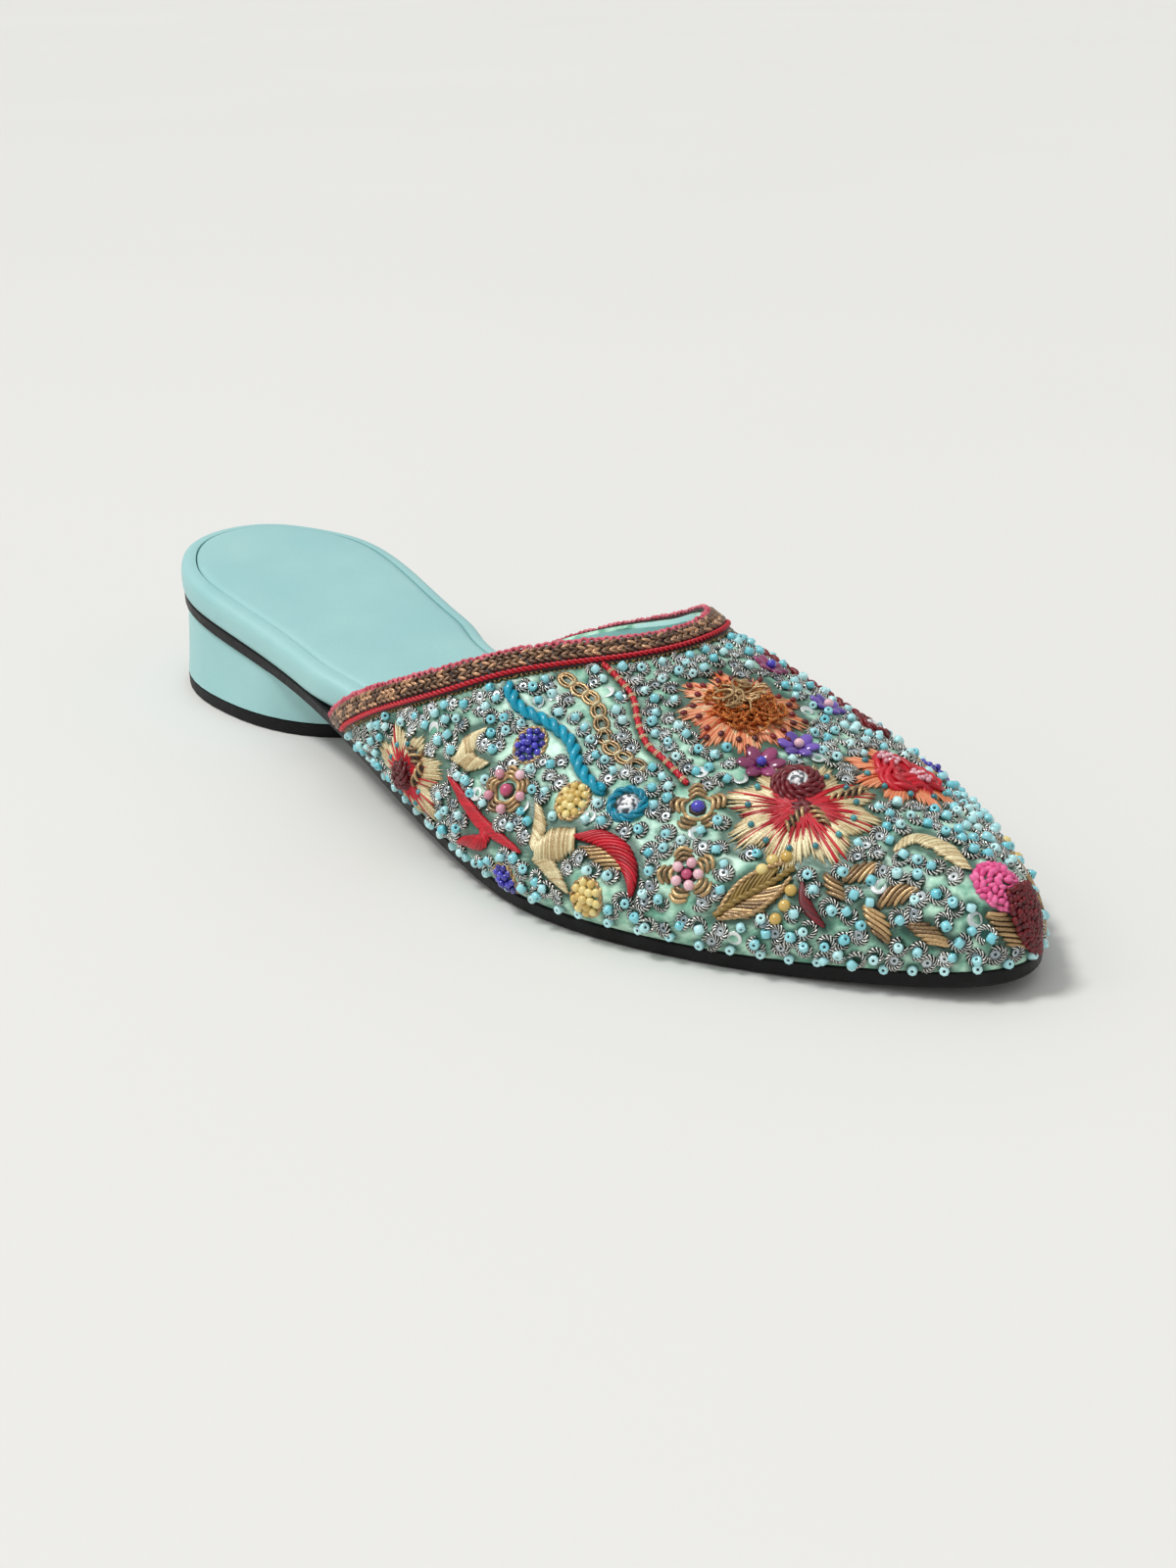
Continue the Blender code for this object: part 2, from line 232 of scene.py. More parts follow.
def shown(name, shape, materials, levels=0):
    """Turns a bmesh into a finished piece of the shoe."""
    mesh = bpy.data.meshes.new(name)
    shape.to_mesh(mesh)
    shape.free()
    piece = placed(name, mesh)
    for material in materials:
        mesh.materials.append(material)
    if levels:
        rounding = piece.modifiers.new("rounding", "SUBSURF")
        rounding.levels = levels
        rounding.render_levels = levels
    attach(piece, "root")
    return piece


def dressed(node, material, levels=0):
    """A finished piece that stands for its solid."""
    shape = welded(node)
    crease = shape.edges.layers.float.new("crease_edge")
    for face in shape.faces:
        face.smooth = True
    for edge in shape.edges:
        sharp = edge.calc_face_angle(0) > CORNER
        edge.smooth = not sharp
        edge[crease] = 0.85 if sharp else 0.0
    piece = shown(node + "_dressed", shape, [material], levels)
    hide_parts(node)
    return piece


dressed("outsole", sole_black)
dressed("top_lift", lift_rubber)
dressed("heel_block", leather)
dressed("footbed", leather, 1)
dressed("sock", leather, 1)
print("dressed: sole, lift, heel, footbed and sock")

# %% [markdown]
# The upper is mint satin outside and aqua leather inside, one shell with a real wall. Satin's floats all run
# one way, so its gloss is a streak: fine lines in the relief and a soft sheen do that. A face is lining
# where it looks towards the middle of the shoe.

# %% The satin upper
SATIN = tint(204, 246, 220)
SATIN_SHADE = tint(108, 176, 148)
# painted shade for the satin near stitches, where shadow falls between them
SATIN_PAINTED_SHADE = tint(6, 62, 50)
MIDDLE_HEIGHT = 0.008

satin = Finish("mint_satin", Sheen_Weight=0.35, Sheen_Roughness=0.35, Coat_Weight=0.25, Coat_Roughness=0.25)
floats = satin.node("ShaderNodeMapping", {}, satin.place(), Scale=(500.0, 4200.0, 4200.0))
lines = satin.noise(1.0, 2.0, floats)
pile = satin.noise(360.0, 3.0)
shine = satin.blend(pile.span(0.35, 0.62), SATIN_SHADE, SATIN)
# painted shade: the tone mark darkens the satin near stitches, where shadow falls between them
satin.set("Base Color", satin.blend(satin.mark("tone"), shine, SATIN_PAINTED_SHADE))
satin.set("Roughness", lines.span(0.3, 0.7, 0.30, 0.48))
satin.bump(lines + pile * 1.5, 0.00010)

upper = dressed("upper", satin.material, 2)
upper.data.materials.append(lining_leather)
for face in upper.data.polygons:
    outward = Vector((0.0, face.center.y, face.center.z - MIDDLE_HEIGHT))
    face.material_index = int(face.normal.dot(outward) < 0)
print("upper faces:", len(upper.data.polygons))

# %% [markdown]
# All that is sewn on rests on the satin, so its surface is kept as a search tree. One question puts any
# point onto it; the other follows a line of sight from the camera, so that a flower is laid where the
# picture shows it. The other shoe of the pair is this one mirrored, and what it shows of the inner side
# is read through a mirrored camera.

# %% The satin as something to sew on
UNDERSIDE = -0.6

cover = bmesh.new()
cover.from_object(upper, bpy.context.evaluated_depsgraph_get())
bmesh.ops.triangulate(cover, faces=cover.faces)
cover.normal_update()
unseen = [face for face in cover.faces if face.material_index or face.normal.z < UNDERSIDE]
bmesh.ops.delete(cover, geom=unseen, context="FACES")
ground = BVHTree.FromBMesh(cover)


def settled(point, height=0.0):
    """The nearest place on the satin, raised by height, and the way out there."""
    place, outward, _, _ = ground.find_nearest(point)
    return place + outward * height, outward


# %% Lines of sight
PICTURE_FOCAL = 1480.2
PICTURE_ROLL = -0.021
PICTURE_MIDDLE = Vector((600.0, 800.0))


class Eye:
    """A place that the shoe was seen from."""

    def __init__(self, place, rightward, ahead):
        self.place = Vector(place)
        self.rightward = Vector(rightward)
        self.ahead = Vector(ahead)
        self.upward = self.rightward.cross(self.ahead)
        if self.upward.z < 0:
            self.upward.negate()

    def at(self, x, y):
        """What the pixel shows: a place on the satin, or the nearest one beside its line of sight."""
        across, down = Vector((x, y)) - PICTURE_MIDDLE
        level = across * math.cos(PICTURE_ROLL) + down * math.sin(PICTURE_ROLL)
        drop = down * math.cos(PICTURE_ROLL) - across * math.sin(PICTURE_ROLL)
        ray = self.ahead + self.rightward * (level / PICTURE_FOCAL) - self.upward * (drop / PICTURE_FOCAL)
        ray.normalize()
        place, outward, _, _ = ground.ray_cast(self.place, ray)
        if place is None:
            steps = [self.place + ray * step for step in np.linspace(0.2, 0.65, 180)]
            near = min(steps, key=lambda point: ground.find_nearest(point)[3])
            place, outward = settled(near)
        return place, outward


def parted(line):
    """Pairs of a place and the way out there, as a list of each."""
    return [place for place, _ in line], [outward for _, outward in line]


def travelled(line):
    """How far it is along a line to each of its points."""
    return np.append(0, np.cumsum(np.linalg.norm(np.diff(line, axis=0), axis=1)))


def read_off(line, far, wanted):
    """Rows of numbers given at some distances, read off at the wanted ones."""
    return np.stack([np.interp(wanted, far, line[:, axis]) for axis in range(line.shape[1])], axis=1)


def rounded(points, count):
    """A smooth line through a few points, as that many points evenly along it."""
    points = np.asarray(points, float)
    if len(points) == 2:
        return points[0] + (points[1] - points[0]) * np.linspace(0, 1, count)[:, None]
    ends = np.vstack([2 * points[0] - points[1], points, 2 * points[-1] - points[-2]])
    line = []
    for before, start, stop, after in zip(ends, ends[1:], ends[2:], ends[3:]):
        for t in np.linspace(0, 1, 12, endpoint=False):
            pull = (stop - before) * t + (2 * before - 5 * start + 4 * stop - after) * t**2
            line.append(start + 0.5 * (pull + (3 * start - before - 3 * stop + after) * t**3))
    line = np.array(line + [points[-1]])
    far = travelled(line)
    return read_off(line, far, np.linspace(0, far[-1], count))


OUTER_SIDE = Eye((0.4106, -0.2627, 0.1725), (0.73712, 0.67576, 0.0), (-0.67015, 0.73099, -0.12864))
INNER_SIDE = Eye((0.4489, 0.2974, 0.1725), (0.6098, -0.7926, 0.0), (-0.7860, -0.6047, -0.1286))
print("toe seen at", tuple(round(value, 4) for value in OUTER_SIDE.at(735, 1300)[0]))

# %% [markdown]
# Embroidery is a few small shapes used hundreds of times: a bead, a loop of coiled wire, a sequin, a length
# of thread. Each is modelled once with bmesh, with few faces, and kept as arrays. Copies are then moved or
# bent in one go with numpy and become one mesh, which is fast to make and light to render.


# %% Small shapes as arrays
def kept(shape, smooth=True):
    """A small bmesh as arrays: points, corners and sizes of its faces, shading, and distance along it."""
    bmesh.ops.recalc_face_normals(shape, faces=shape.faces)
    shape.verts.index_update()
    points = np.array([vert.co[:] for vert in shape.verts])
    corners = np.array([vert.index for face in shape.faces for vert in face.verts])
    sizes = np.array([len(face.verts) for face in shape.faces])
    shape.free()
    return points, corners, sizes, smooth, np.zeros(len(points))


def gathered(name, shape, copies, tones, material, along):
    """One piece from many copies of a small shape. Each copy has its tone, and may run along its length."""
    points, corners, sizes, smooth, _ = shape
    count = len(copies)
    mesh = bpy.data.meshes.new(name)
    mesh.vertices.add(count * len(points))
    mesh.vertices.foreach_set("co", np.asarray(copies, float).ravel())
    starts = np.append(0, np.cumsum(sizes)[:-1])
    mesh.loops.add(count * len(corners))
    mesh.loops.foreach_set("vertex_index", (corners + len(points) * np.arange(count)[:, None]).ravel())
    mesh.polygons.add(count * len(sizes))
    mesh.polygons.foreach_set("loop_start", (starts + len(corners) * np.arange(count)[:, None]).ravel())
    mesh.polygons.foreach_set("use_smooth", [smooth] * (count * len(sizes)))
    mesh.update(calc_edges=True)
    for mark, values in (("tone", np.repeat(tones, len(points))), ("along", along)):
        mesh.attributes.new(mark, "FLOAT", "POINT").data.foreach_set("value", np.ravel(values))
    mesh.materials.append(material)
    piece = placed(name, mesh)
    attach(piece, "root")
    print(f"{name}: {count} copies, {count * len(sizes)} faces")
    return piece


# %% Strewing copies and laying threads
def strewn(name, shape, spots, material):
    """Copies of a shape that stand on their spots: a place, the way out, a heading, a size and a tone."""
    points = shape[0]
    copies = []
    for place, outward, heading, size, tone in spots:
        beside = outward.cross(heading).normalized()
        turn = np.array([beside.cross(outward)[:], beside[:], outward[:]])
        copies.append((points * size) @ turn + np.array(place))
    along = [shape[4] * spot[3][0] / MM for spot in spots]
    return gathered(name, shape, copies, [spot[4] for spot in spots], material, along)


def thread_shape(rows, sides=5, taper=0.25):
    """A unit length of thread along X, closed at both ends, with its radius drawn in at the tips."""
    shape = bmesh.new()
    ring = bmesh.ops.create_circle(shape, radius=1.0, segments=sides)["verts"]
    bmesh.ops.rotate(shape, verts=ring, matrix=Matrix.Rotation(math.pi / 2, 3, "Y"))
    edges = list(shape.edges)
    rings = [ring]
    for _ in range(rows - 1):
        moved = bmesh.ops.extrude_edge_only(shape, edges=edges)["geom"]
        edges = [part for part in moved if isinstance(part, bmesh.types.BMEdge)]
        ring = [part for part in moved if isinstance(part, bmesh.types.BMVert)]
        bmesh.ops.translate(shape, verts=ring, vec=(1 / (rows - 1), 0, 0))
        rings.append(ring)
    for tip in (rings[0], rings[-1]):
        bmesh.ops.scale(shape, verts=tip, vec=(1, taper, taper))
        bmesh.ops.contextual_create(shape, geom=tip)
    return kept(shape)


def laid(name, shape, runs, material):
    """Threads bent along their runs: places, ways out, a radius, and a tone."""
    points = shape[0]
    copies = []
    along = []
    for places, outwards, radius, tone in runs:
        places = np.asarray(places, float)
        far = travelled(places)
        wanted = points[:, 0] * far[-1]
        centre = read_off(places, far, wanted)
        heading = read_off(np.gradient(places, axis=0), far, wanted)
        outward = read_off(np.asarray(outwards, float), far, wanted)
        beside = np.cross(outward, heading)
        beside /= np.linalg.norm(beside, axis=1)[:, None] + 1e-12
        up = np.cross(heading, beside)
        up /= np.linalg.norm(up, axis=1)[:, None] + 1e-12
        copies.append(centre + (beside * points[:, 1:2] + up * points[:, 2:3]) * radius)
        along.append(wanted / MM)
    return gathered(name, shape, copies, [run[3] for run in runs], material, np.array(along))


# %% [markdown]
# Three families of finish cover nearly all the embroidery. Glass beads are glossy with a tone of their own
# each, and painted shade in their holes. Coiled wire shows its fine turns as stripes of painted highlight and
# painted shade, worked out from the distance along it. Silk and metal threads shine softly along their
# length. Each reads the tone of its copy, so no two look quite the same.


# %% Glass, coiled wire and thread
def glass(name, deep, light, roughness=0.16, metal=0.0, painted_hole_shade=None):
    """Glass or a metal film under a clear gloss, with painted shade in the hole of a bead."""
    finish = Finish(name, Coat_Weight=0.7, Coat_Roughness=0.06, Metallic=metal)
    colour = finish.blend(finish.mark("tone"), deep, light)
    if painted_hole_shade:
        # painted shade: the hole of a bead is coloured dark, as shade falls in it
        colour = finish.blend(finish.mark("along").span(0.2, 0.7), colour, painted_hole_shade)
    finish.set("Base Color", colour)
    finish.set("Roughness", finish.noise(900.0).span(0.2, 0.8, roughness, roughness + 0.12))
    return finish.material


def coiled(name, dark, light, turn):
    """Wire wound like a spring: a painted highlight on each turn and painted shade between them."""
    finish = Finish(name, Metallic=0.75)
    winding = finish.mark("along") * (FULL_TURN / turn)
    wave = winding.maths("SINE", winding) * 0.5 + 0.5
    glint = finish.noise(1400.0)
    tone = finish.mark("tone")
    # painted highlight on each turn and painted shade between turns, with painted glints
    share = (wave * 1.5 + tone * 0.4 + glint * 1.3 - 1.12).span(0.0, 1.0)
    finish.set("Base Color", finish.blend(share, dark, light))
    finish.set("Roughness", glint.span(0.3, 0.7, 0.22, 0.42))
    finish.bump(wave, 0.0002)
    return finish.material


def spun(name, deep, light, metal=0.0, roughness=0.45):
    """Floss or metal thread, with fine strands along it."""
    finish = Finish(name, Coat_Weight=0.22, Coat_Roughness=0.3)
    glint = finish.noise(2600.0, 3.0)
    tone = finish.mark("tone")
    finish.set("Base Color", finish.blend((tone * 0.7 + glint * 0.8 - 0.25).span(0.0, 1.0), deep, light))
    finish.set("Metallic", glint.span(0.35, 0.6, metal * 0.5, metal))
    finish.set("Roughness", glint.span(0.3, 0.7, roughness - 0.08, roughness + 0.1))
    finish.bump(glint, 0.00006)
    return finish.material


turquoise = glass("turquoise_glass", tint(110, 210, 224), tint(206, 250, 250), painted_hole_shade=tint(16, 54, 62))
gunmetal = coiled("gunmetal_coil", tint(2, 4, 5), tint(250, 250, 242), 0.7)
bronze_thread = spun("bronze_thread", tint(66, 40, 22), tint(228, 190, 136), 0.5, 0.28)
gold_thread = spun("gold_thread", tint(170, 130, 66), tint(255, 248, 206), 0.15, 0.30)
red_silk = spun("red_silk", tint(150, 0, 20), tint(224, 10, 42))
maroon_silk = spun("maroon_silk", tint(58, 0, 10), tint(132, 4, 22))
peach_silk = spun("peach_silk", tint(214, 104, 58), tint(252, 188, 142))
orange_silk = spun("orange_silk", tint(176, 52, 18), tint(226, 104, 44))
teal_silk = spun("teal_silk", tint(0, 84, 112), tint(4, 176, 206), 0.0, 0.26)
pink_silk = spun("pink_silk", tint(218, 52, 128), tint(250, 132, 182), 0.0, 0.6)
coral_silk = spun("coral_silk", tint(186, 52, 76), tint(232, 122, 136), 0.0, 0.6)
olive_silk = spun("olive_silk", tint(84, 66, 24), tint(166, 136, 70), 0.3, 0.4)
# padding as under real satin stitch, coloured dark as painted shade in the gaps between stitches
padding_in_painted_shade = spun("padding_in_painted_shade", tint(30, 18, 12), tint(58, 38, 26), 0.0, 0.7)
orange_coil = coiled("orange_coil", tint(196, 64, 16), tint(255, 184, 104), 0.6)
print("materials:", len(bpy.data.materials))

# %% [markdown]
# Everything that a pattern covers is off limits for the beads of the ground, as an embroiderer fills the
# ground last. Each motif notes the places it takes.

# %% Room for the motifs
taken = []


def take(places, radius):
    """Notes that a motif covers these places, as far as a radius round each."""
    taken.extend((Vector(place), radius) for place in places)


def take_runs(runs):
    """Notes the places under threads, and gives the threads back."""
    for run in runs:
        take([settled(place)[0] for place in run[0]], 0.35 * MM)
    return runs


def seen_line(eye, pixels, step=1.0):
    """A line of picture points as places on the satin about a step in millimetres apart, and ways out."""
    rough = [eye.at(*pixel)[0] for pixel in rounded(pixels, 3 * len(pixels))]
    length = sum((b - a).length for a, b in zip(rough, rough[1:])) / MM
    return parted([eye.at(*pixel) for pixel in rounded(pixels, max(4, int(length / step) + 1))])


# %% [markdown]
# The finished edge of the opening is a flat braid sewn over the raw satin: coral loops along the top, two
# plaited rows in brown and gold, and a red twisted cord. Its solid gives the two edges it runs between. They
# are where its outer face meets its side walls, and the way each wall faces tells them apart.

# %% The two edges of the band
TOWARDS_OPENING = Vector((-0.7, 0.0, 0.7))
OUTER_FACE = 0.6
END_FACE = -0.8
END_BACK = 0.25
BAND_SIDEWAYS = 0.003
BAND_CENTRE = 0.002
BAND_ROWS = 400
KINK_ROWS = 14

braid_tape = spun("braid_tape", tint(30, 12, 12), tint(64, 32, 26), 0.1, 0.6)
tape = dressed("topline_trim", braid_tape, 1)
tape_shape = bmesh.new()
tape_shape.from_object(tape, bpy.context.evaluated_depsgraph_get())
tape_cover = BVHTree.FromBMesh(tape_shape)
tape_shape.free()

band = welded("topline_trim")
edges_found = {-1: {}, 1: {}}
for face in band.faces:
    middle = face.calc_center_median()
    away = Vector((0.0, middle.y + BAND_SIDEWAYS, middle.z - MIDDLE_HEIGHT)).normalized()
    closes_the_end = face.normal.z < END_FACE and face.normal.x < END_BACK
    if abs(face.normal.dot(away)) > OUTER_FACE or closes_the_end:
        continue
    side = -1 if face.normal.dot(TOWARDS_OPENING) > 0 else 1
    for vert in face.verts:
        if any(other.normal.dot(away) > OUTER_FACE for other in vert.link_faces):
            edges_found[side][vert.index] = vert.co.copy()
band.free()


def evened(line, reach):
    """The same line with its kinks averaged out and its two ends kept."""
    at = np.arange(len(line))
    far = np.minimum(np.minimum(at, at[::-1]), reach)
    total = np.vstack([np.zeros(3), np.cumsum(line, axis=0)])
    return (total[at + far + 1] - total[at - far]) / (2 * far + 1)[:, None]


def round_the_opening(place):
    """The angle of a place round the middle of the opening."""
    return math.atan2(place.y + BAND_SIDEWAYS, place.z - BAND_CENTRE)


def band_edge(side):
    """One edge of the band from end to end, as even rows of points."""
    round_it = sorted(edges_found[side].values(), key=round_the_opening)
    return evened(rounded([place[:] for place in round_it], BAND_ROWS), KINK_ROWS)


band_top = band_edge(-1)
band_foot = band_edge(1)
print("band edge points:", *map(len, edges_found.values()), "length", round(travelled(band_top)[-1] / MM, 1))


def along_band(share, height=0.0):
    """A line at that share of the way from the top edge of the band to its foot, and the ways out."""
    line = band_top + (band_foot - band_top) * share
    outward = np.cross(np.gradient(line, axis=0), band_foot - band_top)
    outward /= np.linalg.norm(outward, axis=1)[:, None]
    if outward[BAND_ROWS // 2, 2] < 0:
        outward = -outward
    resting = []
    for place, away in zip(line, outward):
        away = Vector(away)
        found = tape_cover.ray_cast(Vector(place) + away * 4 * MM, -away, 6 * MM)[0]
        resting.append(found or Vector(place))
    resting = np.array([place[:] for place in resting])
    return resting + outward * height, outward


def spaced(line, outward, gap):
    """Spots that far apart along a line of the band: place, way out and heading."""
    far = travelled(line)
    heading = np.gradient(line, axis=0)
    spots = []
    for wanted in np.arange(gap / 2, far[-1], gap):
        index = int(np.searchsorted(far, wanted))
        spots.append((Vector(line[index]), Vector(outward[index]), Vector(heading[index]).normalized()))
    return spots


# %% The braid along the opening
braid_thread = spun("braid_thread", tint(36, 14, 12), tint(226, 176, 134), 0.45, 0.30)


def grain_shape(sides=6, rings=5):
    """A ball with few faces, its poles on the X axis."""
    shape = bmesh.new()
    bmesh.ops.create_uvsphere(shape, u_segments=sides, v_segments=rings, radius=1.0)
    bmesh.ops.rotate(shape, verts=shape.verts, matrix=Matrix.Rotation(math.pi / 2, 3, "Y"))
    return kept(shape)


def ring_shape(segments, sides, thickness, sweep=FULL_TURN):
    """A ring of radius 1, or part of one, with the distance round it kept for the turns of the wire."""
    shape = bmesh.new()
    small = bmesh.ops.create_circle(shape, radius=thickness, segments=sides)["verts"]
    bmesh.ops.rotate(shape, verts=small, matrix=Matrix.Rotation(math.pi / 2, 3, "X"))
    bmesh.ops.translate(shape, verts=small, vec=(1, 0, 0))
    whole = sweep == FULL_TURN
    parts = shape.edges[:] + shape.verts[:]
    bmesh.ops.spin(shape, geom=parts, axis=(0, 0, 1), angle=sweep, steps=segments, use_merge=whole)
    if not whole:
        bmesh.ops.holes_fill(shape, edges=[edge for edge in shape.edges if edge.is_boundary])
    bmesh.ops.remove_doubles(shape, verts=shape.verts, dist=1e-5)
    ring = kept(shape)
    round_it = np.arctan2(ring[0][:, 1], ring[0][:, 0]) % FULL_TURN
    round_wire = np.arctan2(ring[0][:, 2], np.hypot(ring[0][:, 0], ring[0][:, 1]) - 1)
    return ring[:4] + (round_it + 0.3 * np.abs(round_wire),)


PLAIT_GAP = 1.55 * MM
PLAIT_SIZE = (Vector((1.05, 0.40, 0.46)) * MM)[:]
PLAIT_TONES = (0.0, 0.05, 0.3, 0.9)
PICOT_GAP = 1.45 * MM
FRINGE_GAP = 0.9 * MM

grain = grain_shape()
plait = []
for share in (0.27, 0.57):
    for place, outward, heading in spaced(*along_band(share, 0.16 * MM), PLAIT_GAP):
        beside = outward.cross(heading)
        for lean in (-1, 1):
            turned = Matrix.Rotation(lean * 0.42, 3, outward) @ heading
            spot = place + beside * lean * 0.4 * MM
            plait.append((spot, outward, turned, PLAIT_SIZE, chance.choice(PLAIT_TONES)))
strewn("braid_plaits", grain, plait, braid_thread)

picots = []
for place, outward, heading in spaced(*along_band(0.06, 0.1 * MM), PICOT_GAP):
    size = np.array((0.62, 0.58, 0.8)) * MM * chance.uniform(0.85, 1.15)
    lean = Matrix.Rotation(chance.uniform(-0.4, 0.4), 3, heading) @ outward
    picots.append((place, lean, heading, size, chance.uniform(0, 1)))
strewn("coral_picots", ring_shape(8, 5, 0.55), picots, coral_silk)


def twisted(places, outwards, spread, pitch):
    """The lines that the two plies of a rope follow round its middle line."""
    places = np.asarray(places, float)
    outwards = np.asarray(outwards, float)
    ahead = np.gradient(places, axis=0)
    ahead /= np.linalg.norm(ahead, axis=1)[:, None]
    beside = np.cross(outwards, ahead)
    far = travelled(places)
    lines = []
    for shift in (0.0, 0.5):
        angle = (far / pitch + shift) * FULL_TURN
        lines.append(places + (beside * np.cos(angle)[:, None] + outwards * np.sin(angle)[:, None]) * spread)
    return lines


def finer(places, outwards, step):
    """The same line with points a small step apart."""
    places = np.asarray(places, float)
    length = np.linalg.norm(np.diff(places, axis=0), axis=1).sum()
    count = max(6, int(length / step))
    shares = np.linspace(0, 1, len(places))
    fine_out = read_off(np.asarray(outwards, float), shares, np.linspace(0, 1, count))
    return rounded(places, count), fine_out


red_line, red_out = along_band(0.86, 0.15 * MM)
red_line, red_out = finer(red_line[::8], red_out[::8], 0.36 * MM)
red_plies = [(line, red_out, 0.29 * MM, 0.6) for line in twisted(red_line, red_out, 0.33 * MM, 2.1 * MM)]
laid("red_twisted_cord", thread_shape(len(red_line), 5), red_plies, red_silk)
fringe = []
for place, outward, heading in spaced(*along_band(1.02, -0.1 * MM), FRINGE_GAP):
    turned = Matrix.Rotation(chance.uniform(0.5, 1.3) * chance.choice((-1, 1)), 3, outward) @ heading
    fringe.append((place, outward, turned, np.array((0.6, 0.26, 0.26)) * MM, chance.uniform(0, 0.6)))
strewn("bronze_edge_stitches", grain, fringe, olive_silk)
for share, radius in ((0.9, 1.4), (0.5, 2.6), (0.1, 2.0), (-0.4, 3.0)):
    take(along_band(share)[0][::4], radius * MM)

# %% [markdown]
# The ground is filled with hundreds of small stitches: a loop of gunmetal coil with a turquoise bead or a
# small sequin in it, single beads between, and a large sequin here and there. A bead is a short eight-sided
# cylinder with its edges bevelled and its hole sunk in. The places come from throwing darts on the satin and
# keeping those that are far enough from the rest. None falls on the rim or right on the lower edge.


# %% A bead, a sequin
def bead_shape():
    """A cut bead, standing on one end, with its hole marked in the last of its arrays for the painted shade in
    it.
    """
    shape = bmesh.new()
    bmesh.ops.create_cone(shape, segments=8, radius1=1.0, radius2=1.0, depth=1.6, cap_ends=True)
    caps = [face for face in shape.faces if len(face.verts) == 8]
    rims = [edge for edge in shape.edges if any(face in caps for face in edge.link_faces)]
    bmesh.ops.bevel(shape, geom=rims, offset=0.22, segments=1, profile=0.5, affect="EDGES", material=-1)
    top = max(shape.faces, key=lambda face: face.calc_center_median().z)
    bmesh.ops.inset_individual(shape, faces=[top], thickness=0.42)
    bmesh.ops.inset_individual(shape, faces=[top], thickness=0.06)
    bmesh.ops.translate(shape, verts=top.verts, vec=(0, 0, -0.5))
    bead = kept(shape)
    in_hole = np.hypot(bead[0][:, 0], bead[0][:, 1]) < 0.34
    return bead[:4] + (in_hole * 1.0,)


def sequin_shape():
    """A cupped disc with a hole in it."""
    shape = bmesh.new()
    bmesh.ops.create_circle(shape, segments=12, radius=1.0, cap_ends=True)
    inner = shape.faces[:]
    bmesh.ops.inset_individual(shape, faces=inner, thickness=0.55)
    bmesh.ops.translate(shape, verts=inner[0].verts, vec=(0, 0, -0.18))
    bmesh.ops.inset_individual(shape, faces=inner, thickness=0.18)
    bmesh.ops.delete(shape, geom=inner, context="FACES_ONLY")
    bmesh.ops.solidify(shape, geom=shape.faces[:], thickness=0.08)
    return kept(shape)


bead = bead_shape()
sequin = sequin_shape()
print("faces in a bead and a sequin:", len(bead[2]), len(sequin[2]))


# %% Darts on the satin
HEM_MARGIN = 1.5 * MM
HEM_TOP = 0.014
RIM_FRONT = 0.125
RIM_FACE = 0.55


def tree_of(places):
    """Places as a search tree, for the nearest one or all within reach."""
    tree = KDTree(len(places))
    for index, place in enumerate(places):
        tree.insert(place, index)
    tree.balance()
    return tree


class Board:
    """Places already used, sorted into cells so that a near one is found quickly."""

    def __init__(self, cell):
        self.cell = cell
        self.cells = {}

    def near(self, point, gap):
        key = tuple(int(value // self.cell) for value in point)
        for offset in np.ndindex(3, 3, 3):
            for other in self.cells.get(tuple(k + o - 1 for k, o in zip(key, offset)), ()):
                if (other - point).length < gap:
                    return True
        return False

    def add(self, point):
        self.cells.setdefault(tuple(int(value // self.cell) for value in point), []).append(point)


hem_points = [vert.co.copy() for vert in cover.verts if vert.is_boundary and vert.co.z < HEM_TOP]
hem = tree_of(hem_points)
print("hem points:", len(hem_points), "lowest", round(min(p.z for p in hem_points) / MM, 1))


def on_rim(point, outward):
    """Whether a point lies on the cut edge of the opening, where nothing is sewn."""
    return point.x < RIM_FRONT and outward.dot(TOWARDS_OPENING) > RIM_FACE


def darts(count):
    """Points spread evenly over the satin, each with the way out."""
    faces = list(cover.faces)
    areas = np.array([face.calc_area() for face in faces])
    chosen = chance.choice(len(faces), size=count, p=areas / areas.sum())
    found = []
    for index in chosen:
        face = faces[index]
        a, b, c = (vert.co for vert in face.verts)
        u, v = chance.uniform(0, 1, 2)
        if u + v > 1:
            u, v = 1 - u, 1 - v
        point = a + (b - a) * u + (c - a) * v
        if not on_rim(point, face.normal) and hem.find(point)[2] > HEM_MARGIN:
            found.append((point, face.normal.copy()))
    return found


# %% [markdown]
# Satin stitch is many threads laid side by side over a padded shape. So a blade is a line with a width, the
# threads cross it or run down it, and a low dome lifts the middle of each one.


# %% Stitched blades
THREAD_LIFT = 0.10 * MM


def blade(eye, pixels, widths):
    """A line on the satin with a width in millimetres at each share of its length."""
    places, outwards = seen_line(eye, pixels)
    shares = np.linspace(0, 1, len(places))
    return places, outwards, np.interp(shares, np.linspace(0, 1, len(widths)), widths) * MM * 0.5


def on_blade(shape, share, side, height):
    """A place on a blade: how far along it, how far out from its middle, and how high."""
    places, outwards, halves = shape
    index = min(max(share, 0.0), 1.0) * (len(places) - 1)
    low = min(int(index), len(places) - 2)
    part = index - low
    place = places[low].lerp(places[low + 1], part)
    outward = outwards[low].lerp(outwards[low + 1], part).normalized()
    ahead = (places[low + 1] - places[low]).normalized()
    half = halves[low] + (halves[low + 1] - halves[low]) * part
    resting, way = settled(place + outward.cross(ahead) * half * side + outward * MM)
    return resting + way * height, way


